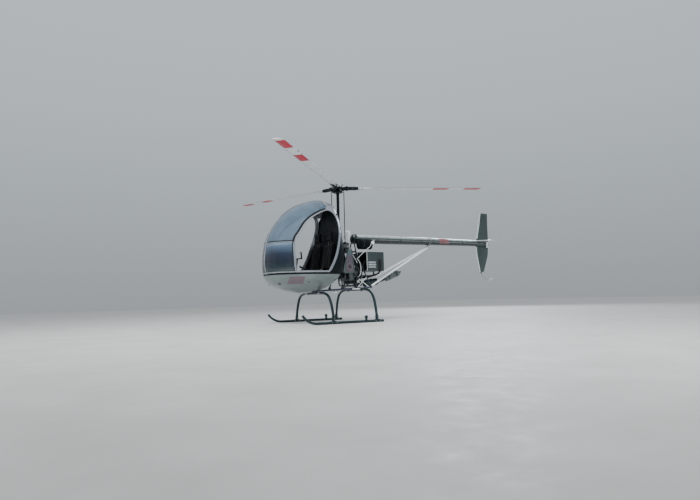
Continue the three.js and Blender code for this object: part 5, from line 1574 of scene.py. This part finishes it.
def build_rotor(looks):
  top = HUB_HEIGHT - HUB_HALF - .0003
  profile = [(0.0, 0), (.033, 0), (.033, .01), (.0315, .014), (.0315, .88), (.0325, .884),
    (.0325, top - MAST_FOOT), (0, top - MAST_FOOT)]
  turned(profile, (0, 0, MAST_FOOT), UP, "night", 48)
  band((0, 0, 1.704), (0, 0, 1.73), .0395, .007, "dark_steel")
  deliver("rotor_mast", "dark_paint", body=MAIN_ROTOR)

  profile = [(.04, -.022), (.088, -.022), (.092, -.018), (.092, -.004), (.088, -.001), (.074, -.001),
    (.072, -.004), (.06, -.004), (.056, -.001), (.04, -.001), (.04, -.022)]
  turned(profile, (0, 0, SWASH), UP, "dark_steel", 56)
  for azimuth in (0, 120, 240):
    pipe(polar(azimuth, .075, SWASH - .012), polar(azimuth, .146, SWASH - .012), .01, "night")
    ball_at(polar(azimuth, .15, SWASH - .012), .0135, "steel", sides=24)
    pipe(polar(azimuth, .15, 1.6004), polar(azimuth, .15, SWASH - .014), .0088, "night")
    for low, high, finish in ((1.6004, 1.64, "steel"), (1.64, 1.652, "dark_steel"),
        (SWASH - .064, SWASH - .026, "steel")):
      pipe(polar(azimuth, .15, low), polar(azimuth, .15, high), .01, finish, sides=6)
  deliver("lower_swashplate", "dark_paint")

  profile = [(.0335, .006), (.093, .006), (.096, .009), (.096, .02), (.092, .024), (.05, .024),
    (.046, .019), (.0335, .019), (.0335, .006)]
  turned(profile, (0, 0, SWASH), UP, "night", 56)
  bolt_circle((0, 0, SWASH + .0235), UP, .074, 12, .0035)
  for azimuth in BLADE_AZIMUTHS:
    horn = azimuth + 38
    pipe(polar(horn, .08, SWASH + .015), polar(horn, .146, SWASH + .021), .009, "dark_steel")
    ball_at(polar(horn, .148, SWASH + .021), .0095, "steel", sides=20)
  deliver("upper_swashplate", "dark_paint", body=MAIN_ROTOR)

  hub = HUB_HEIGHT
  turned([(0, -.0375), (.05, -.0375), (.06, -.034), (.068, -.026), (.068, .03), (.062, .04), (.046, .048),
    (0, .048)], (0, 0, hub), UP, "night", 48)
  turned([(.03, .046), (.029, .058), (.024, .062), (.022, .078), (.016, .086), (0, .086)], (0, 0, hub), UP,
    "dark_steel", 40)
  band((0, 0, hub + .044), (0, 0, hub + .054), .042, .014, "steel")
  bolt_circle((0, 0, hub + .046), UP, .054, 9, .005)
  for azimuth in BLADE_AZIMUTHS:
    def lift(reach, more=0.0):
      return hub + reach*tan(CONING) + more
    first, last = (polar(azimuth, .15, lift(.15)), polar(azimuth, BLADE_ROOT - .0003, lift(BLADE_ROOT)))
    axis = (Vector(last) - Vector(first)).normalized()
    pipe(polar(azimuth, .04, hub), polar(azimuth, .2, lift(.2)), .034, "night", sides=36)
    long = (Vector(last) - Vector(first)).length
    profile = [(0, 0), (.036, 0), (.043, .006), (.043, .07), (.04, .08), (.038, .2), (.041, .204),
      (.041, .222), (.036, .228), (.033, long), (0, long)]
    turned(profile, first, axis, "night", 44)
    turned([(.046, 0), (.054, .002), (.054, .022), (.046, .024)], polar(azimuth, .19, lift(.19)), axis,
      "dark_steel", 44)
    bolt_circle(polar(azimuth, .214, lift(.214)), axis, .0475, 8, .004)
    band(Vector(polar(azimuth, .3, lift(.3))), Vector(polar(azimuth, .345, lift(.345))), .04, .003,
      "dark_steel")
    for reach in (.385, .425):
      for side in (1, -1):
        place = Vector(polar(azimuth, reach, lift(reach, .03*side)))
        bolt(place, (0, 0, side), .0085)
    horn = azimuth + 38
    tip = polar(horn, .15, SWASH + .022)
    foot = (tip[0], tip[1], SWASH + .034)
    head = (tip[0], tip[1], hub - .026)
    pipe(foot, head, .0085, "steel")
    ball_at((tip[0], tip[1], SWASH + .0425), .0105, "dark_steel", sides=20)
    pipe(polar(azimuth, .2, hub - .012), head, .0125, "night")
    ball_at(head, .015, "night", sides=24)
    damper = (polar(azimuth, .052, hub + .026, .036), polar(azimuth, .33, hub + .022, .012))
    pipe(*damper, .007, "steel")
    barrel = (Vector(damper[0]).lerp(Vector(damper[1]), .32),
      Vector(damper[0]).lerp(Vector(damper[1]), .74))
    pipe(*barrel, .012, "dark_steel", rounding=.002)
    for place in damper:
      ball_at(place, .0115, "dark_steel", sides=20)
    pipe(polar(azimuth, .07, hub + .02), polar(azimuth, .128, hub + .112), .0105, "night", end_radius=.006)
    ball_at(polar(azimuth, .126, hub + .109), .0085, "steel", sides=20)
  deliver("rotor_hub", "dark_paint", body=MAIN_ROTOR)

  for i, azimuth in enumerate(BLADE_AZIMUTHS):
    build_blade(f"main_blade_{i + 1}", azimuth)


def blade_loft(stations, count=20):
  """Sections along +X. Each row is the reach, the chord, the thickness and the leading edge's y."""
  rings = [section(chord, thick, 0, lambda y, z, x=x, lead=lead: Vector((x, -(y + lead), z)), count) for x,
    chord, thick, lead in stations]
  return loft(rings)


def build_blade(name, azimuth):
  root, tip, chord, thick = BLADE_ROOT + .0003, ROTOR_RADIUS, BLADE_CHORD, .021
  lead = .27*chord
  stations = [(root, chord*.8, thick, lead*.8), (root + .05, chord*.9, thick, lead*.92),
    (root + .14, chord, thick, lead)]
  stations += [(x, chord, thick, lead) for x in np.linspace(.8, tip - .03, 12)]
  stations += [(tip - .012, chord*.985, thick*.9, lead*.99),
    (tip - .003, chord*.95, thick*.55, lead*.95), (tip, chord*.9, thick*.15, lead*.9)]
  keep(coat(smooth(blade_loft(stations), 40), "blade"))
  # Root doublers, leading edge strip and trim tab.
  for reach, grow in ((.25, .0012), (.16, .0024)):
    rows = [(root + .002, chord*.78, thick + 2*grow, lead*.78),
      (root + reach - .03, chord*.88, thick + 2*grow, lead*.9),
      (root + reach, chord*.62, thick + grow, lead*.55)]
    keep(coat(smooth(blade_loft(rows), 40), "blade"))
  spar = [(root + .3, .016, thick*.62, lead + .0007), (tip - .016, .016, thick*.62, lead + .0007)]
  keep(coat(smooth(blade_loft(spar, count=10), 50), "steel"))
  tab = box((2.62, .73*chord - .006, -.0012), (2.8, .73*chord + .012, .0012), .0005)
  keep(coat(tab, "steel"))
  for x in (root + .03, root + .085):
    for y in (-.02, .022):
      for side in (1, -1):
        head = rod((x, y, side*.009), (x, y, side*.0165), .009, sides=6)
        keep(coat(head, "dark_steel"))
  turn = Matrix.Rotation(radians(azimuth), 4, "Z") @ Matrix.Rotation(-CONING, 4,
    "Y") @ Matrix.Rotation(-BLADE_PITCH, 4, "X")
  deliver(name, "blade_white", body=MAIN_ROTOR).data.transform(Matrix.Translation(HUB) @ turn)


TAIL_RADIUS, TAIL_CHORD, TAIL_LEAN = .64, .105, radians(2)


def build_tail_rotor(looks):
  turn = Matrix.Translation(TAIL_HUB) @ Matrix.Rotation(TAIL_LEAN, 4, "Y")

  def local(start, end, radius, finish, **more):
    return keep(coat(rod(start, end, radius, **more), finish))

  local((0, .0567, 0), (0, -.022, 0), .0215, "dark_steel", sides=32, rounding=.001)
  local((0, -.02, 0), (0, -.03, 0), .014, "steel", sides=6)
  local((0, 0, -.095), (0, 0, .095), .0195, "night", sides=32, rounding=.003)
  local((0, .03, 0), (0, .04, 0), .0215, "steel", sides=32)
  local((-.03, 0.0, 0), (.03, 0.0, 0), .0125, "steel", sides=24, rounding=.002)
  for way in (1, -1):
    local((0, 0, way*.052), (0, 0, way*.06), .0208, "dark_steel", sides=32)
    local((.02, .036, way*.012), (.028, .01, way*.07), .0042, "steel", sides=16)
    local((.01, .002, way*.07), (.034, .008, way*.07), .0062, "dark_steel", sides=16)
  deliver("tail_rotor_hub", "dark_paint", body=TAIL_ROTOR).data.transform(turn)

  for number, way in ((1, 1), (2, -1)):
    root, chord = .0953, TAIL_CHORD
    lead = .3*chord
    rows = [(root, chord*.62, .013, lead*.62), (root + .03, chord*.8, .013, lead*.82),
      (root + .08, chord, .013, lead)]
    rows += [(reach, chord, .013, lead) for reach in (.3, .42, .54, TAIL_RADIUS - .02)]
    rows += [(TAIL_RADIUS - .006, chord*.97, .01, lead*.98), (TAIL_RADIUS, chord*.9, .003, lead*.9)]
    rings = [section(c, thick, 0, lambda x, y, reach=reach,
      e=e: Vector((way*(x + e), y, way*reach))) for reach, c, thick, e in rows]
    keep(coat(smooth(loft(rings), 40), "tail_blade"))
    cuff = [(root + .001, chord*.56, .0165, lead*.56), (root + .055, chord*.52, .0155, lead*.5)]
    rings = [section(c, thick, 0, lambda x, y, reach=reach,
      e=e: Vector((way*(x + e), y, way*reach))) for reach, c, thick, e in cuff]
    keep(coat(smooth(loft(rings), 40), "steel"))
    for reach in (.112, .136):
      head = rod((0, -.0105, way*reach), (0, .0105, way*reach), .006, sides=6)
      keep(coat(head, "dark_steel"))
    deliver(f"tail_blade_{number}", "blade_white", body=TAIL_ROTOR).data.transform(turn)


FLOOR_TOP = .715
SEAT_LOW, SEAT_HIGH = .034, .476


def build_interior(looks):
  lining = egg_body(SHELL_WALL + .0005)
  tray = cut(zone((.24, 1.44), z=(.7, FLOOR_TOP)), copy_of(lining), "INTERSECT")
  keep(coat(soften(tray, .002, 2), "plastic"))
  # Ribbed foot mats, and bolts in the floor tray.
  for side in (1, -1):
    low, high = sorted((side*.11, side*.4))
    brick((.905, low, FLOOR_TOP - .001), (1.16, high, FLOOR_TOP + .004), "rubber", .002)
    rib = brick((.915, low + .01, FLOOR_TOP + .003), (.921, high - .01, FLOOR_TOP + .0065), "rubber", .001)
    row(rib, 17, (.0145, 0, 0))
    for x in (.27, 1.385):
      bolt((x, side*.15, FLOOR_TOP - .001), UP, .004)
  deliver("cabin_floor", "black_plastic")

  outline = [(.245, .7153), (.86, .7153), (.89, .9), (.42, .9), (.33, 1.18), (.245, 1.18)]
  bench = slab(outline, -.56, .56, 0)
  cut(bench, lining, "INTERSECT")
  keep(coat(soften(bench, .008, 3), "plastic"))
  for side in (1, -1):
    low, high = sorted((side*.06, side*.44))
    panel = slab([(.868, .745), (.8885, .872), (.8845, .872), (.864, .745)], low, high, .0015)
    keep(coat(panel, "plastic"))
    for y in (.08, .42):
      for x, z in ((.8705, .762), (.886, .856)):
        bolt((x, side*y, z), (1, 0, -.16), .004)
  deliver("seat_bench", "black_plastic")
  build_seats(looks)
  build_console(looks)
  build_controls(looks)


def pad(outline, low, high, cap, channels, rest=None):
  """A stuffed pad: swollen as cloth, kept within a cap, then drawn in along its sewn channels."""
  piece = slab(outline, low, high, .016, 4)
  modify(piece, "REMESH", mode="VOXEL", voxel_size=.006)
  mesh = piece.data
  before = np.empty(3*len(mesh.vertices))
  mesh.vertices.foreach_get("co", before)
  scene = bpy.context.scene
  choose(piece)
  cloth = piece.modifiers.new("Cloth", "CLOTH")
  cloth.settings.use_pressure = True
  cloth.settings.uniform_pressure_force = 4
  cloth.settings.effector_weights.gravity = 0
  for step in range(1, 21):
    scene.frame_set(step)
  bpy.ops.object.modifier_apply(modifier=cloth.name)
  scene.frame_set(1)
  mesh = piece.data
  after = np.empty(3*len(mesh.vertices))
  mesh.vertices.foreach_get("co", after)
  before, after = before.reshape(-1, 3), after.reshape(-1, 3)
  moved = after - before
  far = np.linalg.norm(moved, axis=1, keepdims=True)
  after = before + moved*np.minimum(1, cap/np.maximum(far, 1e-09))
  normals = np.empty(3*len(mesh.vertices))
  mesh.vertices.foreach_get("normal", normals)
  draw = np.zeros(len(after))
  for axis, place, width, depth in channels:
    draw = np.maximum(draw, depth*np.exp(-((after[:, axis] - DATUM[axis] - place)/width)**2))
  after -= normals.reshape(-1, 3)*draw[:, None]
  if rest is not None:
    after[:, 2] = np.maximum(after[:, 2], DATUM.z + rest)
  mesh.vertices.foreach_set("co", after.reshape(-1))
  mesh.update()
  modify(piece, "SUBSURF", levels=1, render_levels=1)
  modify(piece, "DECIMATE", ratio=.6)
  return keep(coat(smooth(piece, 180), "cloth"))


def build_seats(looks):
  middle = (SEAT_LOW + SEAT_HIGH)/2
  lanes = [(1, middle + k*.105, .0055, .0075) for k in (-1, 0, 1)]
  pad([(.884, .914), (.89, .972), (.852, .996), (.56, .968), (.49, .975), (.452, .914)], SEAT_LOW + .01,
    SEAT_HIGH - .01, .012, lanes + [(0, .745, .006, .007)], .9008)
  pad([(.468, 1.01), (.388, 1.52), (.326, 1.545), (.312, 1.5), (.362, 1.18), (.408, 1.01)], SEAT_LOW + .014,
    SEAT_HIGH - .014, .011, lanes + [(2, 1.235, .006, .007)])
  pad([(.38, 1.585), (.368, 1.775), (.34, 1.785), (.322, 1.58)], middle - .13, middle + .13, .01,
    [(2, 1.68, .006, .006)])
  # Piping round the edges of both main pads.
  for outline, y in (([(.893, .99), (.852, 1.005), (.56, .977), (.492, .986)], SEAT_LOW + .004),
      ([(.476, 1.02), (.394, 1.52), (.372, 1.548)], SEAT_LOW + .008)):
    for place in (y, 2*middle - y):
      hose([(x, place, z) for x, z in outline], .0042, "plastic", 6)
  for y in (middle - .055, middle + .055):
    pipe((.352, y, 1.52), (.352, y, 1.61), .006, "steel")
  # Shoulder and lap straps with their buckle.
  for side in (1, -1):
    y = middle + side*.095
    strap([(.318, y, 1.8), (.35, y, 1.6), (.402, y - side*.01, 1.5), (.44, y - side*.03, 1.32),
      (.49, y - side*.062, 1.12), (.552, y - side*.08, 1.01)], .044, .0022, "webbing")
    strap([(.47, middle + side*.205, .935), (.5, middle + side*.18, .998),
      (.55, middle + side*.09, 1.002), (.56, middle + side*.02, 1.006)], .046, .0022, "webbing",
      (1, 0, .2))
  turned([(0, 0), (.03, 0), (.032, .004), (.028, .014), (.012, .017), (0, .017)], (.556, middle, 1.004),
    (.15, 0, 1), "bright", 36)
  for piece in deliver_pair("seat", "seat_cloth"):
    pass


def build_console(looks):
  pedestal = slab([(1.18, .7153), (1.4, .7153), (1.36, 1.13), (1.27, 1.13)], -.09, .09, .008)
  panel = slab([(1.262, 1.13), (1.35, 1.11), (1.33, 1.44), (1.29, 1.47), (1.23, 1.44)], -.21, .21, .008)
  keep(coat(pedestal, "plastic"))
  keep(coat(panel, "plastic"))
  hood = slab([(1.222, 1.44), (1.29, 1.482), (1.338, 1.446), (1.33, 1.44), (1.29, 1.468), (1.23, 1.432)],
    -.214, .214, .002)
  keep(coat(hood, "rubber"))
  low, high = Vector((1.262, 0, 1.13)), Vector((1.23, 0, 1.44))
  out = Vector((-(high.z - low.z), 0, high.x - low.x)).normalized()

  def face(y, share, proud=0.0):
    return low.lerp(high, share) + Vector((0, y, 0)) + out*proud

  for share, count, radius in ((.8, 4, .038), (.5, 4, .038), (.24, 5, .026)):
    for i in range(count):
      y = (i - (count - 1)/2)*(.096 if radius > .03 else .07)
      centre = face(y, share)
      turned([(radius - .006, -.002), (radius - .006, .0035), (radius - .003, .0065), (radius, .0055),
        (radius + .001, 0)], centre, out, "dark_steel", 40)
      turned([(0, .0005), (radius - .006, .0005)], centre, out, "dial", 36)
      turned([(0, .0042), (radius - .0065, .0032)], centre, out, "dial_glass", 36)
      for k in range(12):
        if k in (5, 6):
          continue
        angle = radians(30*k + 15)
        way = Matrix.Rotation(angle, 3, out) @ Vector(PORT)
        pipe(centre + way*(radius - .013) + out*.001, centre + way*(radius - .008) + out*.001,
          .0009, "white", sides=6)
      way = Matrix.Rotation(radians(40 + 57*i + 90*share), 3, out) @ Vector(PORT)
      pipe(centre + out*.0018, centre + way*(radius - .012) + out*.0018, .0012, "needle",
        end_radius=.0004, sides=6)
  for i in range(8):
    foot = face((i - 3.5)*.046, .075)
    pipe(foot, foot + out*.006, .0055, "steel", sides=16)
    pipe(foot + out*.004, foot + out*.018 + Vector((0, 0, .004 if i % 3 else -.006)), .0022, "bright",
      end_radius=.003, sides=12)
  for y in (-.198, .198):
    for share in (.06, .94):
      bolt(face(y, share), out, .0035)
  # Radio face and knobs on the pedestal.
  for z in (.86, .95, 1.04):
    x = 1.18 + (z - .7153)*(1.27 - 1.18)/(1.13 - .7153)
    brick((x - .007, -.078, z - .036), (x + .004, .078, z + .036), "night", .002)
    brick((x - .0085, -.04, z - .014), (x - .004, .04, z + .016), "dial", .001)
    for y in (-.06, .06):
      turned([(.01, 0), (.0095, .012), (.006, .014), (0, .014)], (x - .007, y, z), (-1, 0, .2), "plastic",
        24)
  # Whip compass on the hood.
  pipe((1.285, 0, 1.47), (1.285, 0, 1.5), .004, "dark_steel")
  ball_at((1.285, 0, 1.505), .018, "night", sides=24)
  band((1.285, 0, 1.498), (1.285, 0, 1.512), .0195, .003, "plastic")
  deliver("instrument_console", "black_plastic")


def build_controls(looks):
  hose([(1.012, 0, .7155), (1.006, 0, .86), (.985, 0, 1.04), (.962, 0, 1.18), (.96, 0, 1.23)], .0135,
    "night", 6)
  turned([(.062, 0), (.056, .01), (.048, .014), (.044, .026), (.036, .03), (.032, .042), (.022, .046),
    (.018, .06), (0, .06)], (1.012, 0, .7153), UP, "rubber", 40)
  pipe((.96, -.23, 1.235), (.96, .23, 1.235), .0115, "night", rounding=.002)
  band((.96, -.024, 1.235), (.96, .024, 1.235), .0185, .008, "dark_steel")
  for side in (1, -1):
    y = side*.222
    turned([(0.0, 0), (.0125, .002), (.016, .012), (.0135, .03), (.0165, .048), (.014, .068), (.0165, .088),
      (.0145, .106), (.017, .122), (.016, .138), (.008, .145), (0, .145)], (.96, y, 1.2155),
      (.103, 0, .995), "foam", 32)
    pipe((.962, y, 1.352), (.952, y, 1.354), .0042, "red", sides=16)
  for side in (1, -1):
    for y in (.06, .15):
      band((.96, side*y, 1.235), (.96, side*(y + .01), 1.235), .014, .003, "steel")
  deliver("cyclic_stick", "dark_paint")

  brick((.52, -.014, .9003), (.58, .014, .94), "plastic", .004)
  pipe((.55, 0, .93), (.905, 0, 1.085), .0108, "night")
  turned([(0, 0), (.014, 0), (.0185, .006), (.0185, .012), (.0165, .018), (.0185, .028), (.0165, .04),
    (.0185, .052), (.0165, .064), (.0185, .076), (.0165, .088), (.0185, .1), (.0165, .112), (.019, .13),
    (.019, .155), (.015, .165), (0, .168)], (.76, 0, 1.022), (.9165, 0, .4), "foam", 32)
  pipe((.535, -.018, .928), (.535, .018, .928), .007, "steel", sides=20)
  deliver("collective_lever", "black_plastic")

  pipe((1.215, -.33, .8), (1.215, .33, .8), .01, "steel", rounding=.002)
  for side in (1, -1):
    low, high = sorted((side*.322, side*.338))
    brick((1.2, low, .7155), (1.23, high, .805), "steel", .003)
    bolt((1.215, side*.338, .795), (0, side, 0), .006)
    for y in (.15, .29):
      hose([(1.215, side*y, .8), (1.222, side*y, .85), (1.238, side*y, .915)], .0078, "steel", 6)
      brick((1.238, side*y - .032, .88), (1.248, side*y + .032, .96), "steel", .003)
      tread = brick((1.236, side*y - .028, .886), (1.2395, side*y + .028, .892), "rubber", .001)
      row(tread, 7, (0, 0, .0108))
      band((1.215, side*y - .012, .8), (1.215, side*y + .012, .8), .0145, .005, "dark_steel")
  deliver("rudder_pedals", "bright_steel")


CAMERA = (6.25941, 10.14179, .49576)
CAMERA_RIGHT = (-.869097, .493923, -.026638)
CAMERA_UP = (.020462, .089708, .995758)
CAMERA_FORWARD = (-.494218, -.864865, .088071)


def lamp(name, place, aim, size, power, colour, glossy=True):
  light = bpy.data.lights.new(name, "AREA")
  light.shape = "DISK"
  light.size = size
  light.energy = power
  light.color = rgba(colour)[:3]
  holder = bpy.data.objects.new(name, light)
  bpy.context.scene.collection.objects.link(holder)
  holder.visible_glossy = glossy
  holder.matrix_world = Matrix.Translation(Vector(place)) @ (Vector(place) - Vector(aim)).to_track_quat("Z",
    "Y").to_matrix().to_4x4()
  return holder


def build_stage(looks):
  deselect()
  bpy.ops.mesh.primitive_plane_add(size=60, location=(0, 0, 0))
  floor = bpy.context.object
  floor.name = "floor"
  coat(floor, "floor")

  world = bpy.data.worlds.new("overcast_sky")
  bpy.context.scene.world = world
  world.use_nodes = True
  tree = world.node_tree
  tree.nodes.clear()
  place = add(tree, "TexCoord").outputs["Generated"]
  height = add(tree, "SeparateXYZ", {0: place}).outputs["Z"]
  sky = add(tree, "ValToRGB", {"Fac": add(tree, "MapRange", {0: height, 1: -.1, 2: 1.0}).outputs[0]},
    [(0.0, "#a0a5a9"), (.12, "#adb4ba"), (.4, "#cfd9e2"), (1.0, "#f4f8fc")])
  light = add(tree, "Background", {"Color": sky.outputs[0], "Strength": looks.sky_strength})
  add(tree, "OutputWorld", {"Surface": light.outputs[0]})

  lamps = [
    lamp("high_key", (5.5, 3.5, 7.5), (0, 0, 1.4), 5.0, looks.lamp_power, "#fbfcff", False),
    lamp("tail_rim", (-8.0, -5.0, 5.5), (-1.0, 0, 1.6), 4.0, .7*looks.lamp_power, "#e8f0ff"),
    lamp("port_fill", (.5, 10.0, 2.6), (0, 0, 1.2), 5.0, .32*looks.lamp_power, "#f4f6fa", False),
  ]

  lens = bpy.data.cameras.new("photo_camera")
  lens.lens = 27.45
  lens.sensor_width = 36
  lens.clip_end = 200
  camera = bpy.data.objects.new("photo_camera", lens)
  bpy.context.scene.collection.objects.link(camera)
  turn = Matrix((CAMERA_RIGHT, CAMERA_UP, [-value for value in CAMERA_FORWARD])).transposed().to_4x4()
  camera.matrix_world = Matrix.Translation(Vector(CAMERA)) @ turn
  bpy.context.scene.camera = camera


class HelicopterLooks(bpy.types.PropertyGroup):
  """What a user would change before building the helicopter's looks."""

  cylinder_fins: bpy.props.IntProperty(name="Cylinder Fins",
    description="Cooling fins on each of the four cylinders", default=9, min=3, max=14)
  radiator_fins: bpy.props.IntProperty(name="Radiator Fins",
    description="Upright fins across the radiator core", default=110, min=20, max=200)
  gasket: bpy.props.FloatProperty(name="Window Bead",
    description="Radius of the rubber bead round each window", default=.0032, min=.002, max=.01,
    unit="LENGTH")
  lamp_power: bpy.props.FloatProperty(name="Key Light", description="Power of the high key light",
    default=900, min=0, unit="POWER")
  sky_strength: bpy.props.FloatProperty(name="Sky", description="Strength of the overcast sky", default=.9,
    min=0)
  cabin_paint: bpy.props.FloatVectorProperty(name="Cabin Paint",
    description="Silver paint of the canopy frame and the door frames", size=4, subtype="COLOR", min=0,
    max=1, default=rgba("#a0a6ad"))
  belly_paint: bpy.props.FloatVectorProperty(name="Belly Paint",
    description="Satin paint of the cabin's lower shell", size=4, subtype="COLOR", min=0, max=1,
    default=rgba("#85908f"))
  band_paint: bpy.props.FloatVectorProperty(name="Blade Bands",
    description="Colour of the bands on the main blades", size=4, subtype="COLOR", min=0, max=1,
    default=rgba("#c42a3a"))


def run(build, context):
  looks = context.scene.helicopter_looks
  if not FINISHES:
    make_finishes(looks)
  build(looks)
  return {"FINISHED"}


class HELICOPTER_OT_cabin(bpy.types.Operator):
  """Cuts the shell, frame, windows and bulkhead from one smooth egg"""
  bl_idname = "helicopter.cabin"
  bl_label = "Cabin Shell"

  def execute(self, context):
    return run(build_cabin, context)


class HELICOPTER_OT_interior(bpy.types.Operator):
  """Builds the floor, bench, seats, instruments and flight controls"""
  bl_idname = "helicopter.interior"
  bl_label = "Cabin Interior"

  def execute(self, context):
    return run(build_interior, context)


class HELICOPTER_OT_landing_gear(bpy.types.Operator):
  """Builds both skids and both cross tubes"""
  bl_idname = "helicopter.landing_gear"
  bl_label = "Landing Gear"

  def execute(self, context):
    return run(build_landing_gear, context)


class HELICOPTER_OT_frame(bpy.types.Operator):
  """Builds the welded tube frame behind and below the cabin"""
  bl_idname = "helicopter.frame"
  bl_label = "Welded Frame"

  def execute(self, context):
    return run(build_frame, context)


class HELICOPTER_OT_powerplant(bpy.types.Operator):
  """Builds the engine, belt guard, radiator, drum, exhaust, muffler and main gearbox"""
  bl_idname = "helicopter.powerplant"
  bl_label = "Powerplant"

  def execute(self, context):
    for build in (build_engine, build_guard, build_radiator, build_drum, build_exhaust):
      run(build, context)
    return run(build_gearbox, context)


class HELICOPTER_OT_tail(bpy.types.Operator):
  """Builds the boom, its struts, the fins, the stabiliser, the tail gearbox and the tail skid"""
  bl_idname = "helicopter.tail"
  bl_label = "Tail"

  def execute(self, context):
    return run(build_tail, context)


class HELICOPTER_OT_rotors(bpy.types.Operator):
  """Builds the main rotor with its mast and swashplates, and the tail rotor"""
  bl_idname = "helicopter.rotors"
  bl_label = "Rotors"

  def execute(self, context):
    run(build_rotor, context)
    return run(build_tail_rotor, context)


class HELICOPTER_OT_stage(bpy.types.Operator):
  """Sets the pale floor, the overcast sky, the lamps and the camera"""
  bl_idname = "helicopter.stage"
  bl_label = "Stage"

  def execute(self, context):
    return run(build_stage, context)


OPERATORS = (HELICOPTER_OT_cabin, HELICOPTER_OT_interior, HELICOPTER_OT_landing_gear, HELICOPTER_OT_frame,
  HELICOPTER_OT_powerplant, HELICOPTER_OT_tail, HELICOPTER_OT_rotors, HELICOPTER_OT_stage)


class HELICOPTER_PT_panel(bpy.types.Panel):
  """Lists the helicopter's settings and builders"""
  bl_label = "Light Helicopter"
  bl_idname = "HELICOPTER_PT_panel"
  bl_space_type = "VIEW_3D"
  bl_region_type = "UI"
  bl_category = "Helicopter"

  def draw(self, context):
    looks = context.scene.helicopter_looks
    for name in HelicopterLooks.__annotations__:
      self.layout.prop(looks, name)
    for operator in OPERATORS:
      self.layout.operator(operator.bl_idname)


CLASSES = (HelicopterLooks, *OPERATORS, HELICOPTER_PT_panel)


def register():
  for one in CLASSES:
    bpy.utils.register_class(one)
  bpy.types.Scene.helicopter_looks = bpy.props.PointerProperty(type=HelicopterLooks)


def unregister():
  del bpy.types.Scene.helicopter_looks
  for one in reversed(CLASSES):
    bpy.utils.unregister_class(one)


def main():
  register()
  for operator in OPERATORS:
    group, name = operator.bl_idname.split(".")
    getattr(getattr(bpy.ops, group), name)()


if __name__ == "__main__":
  main()
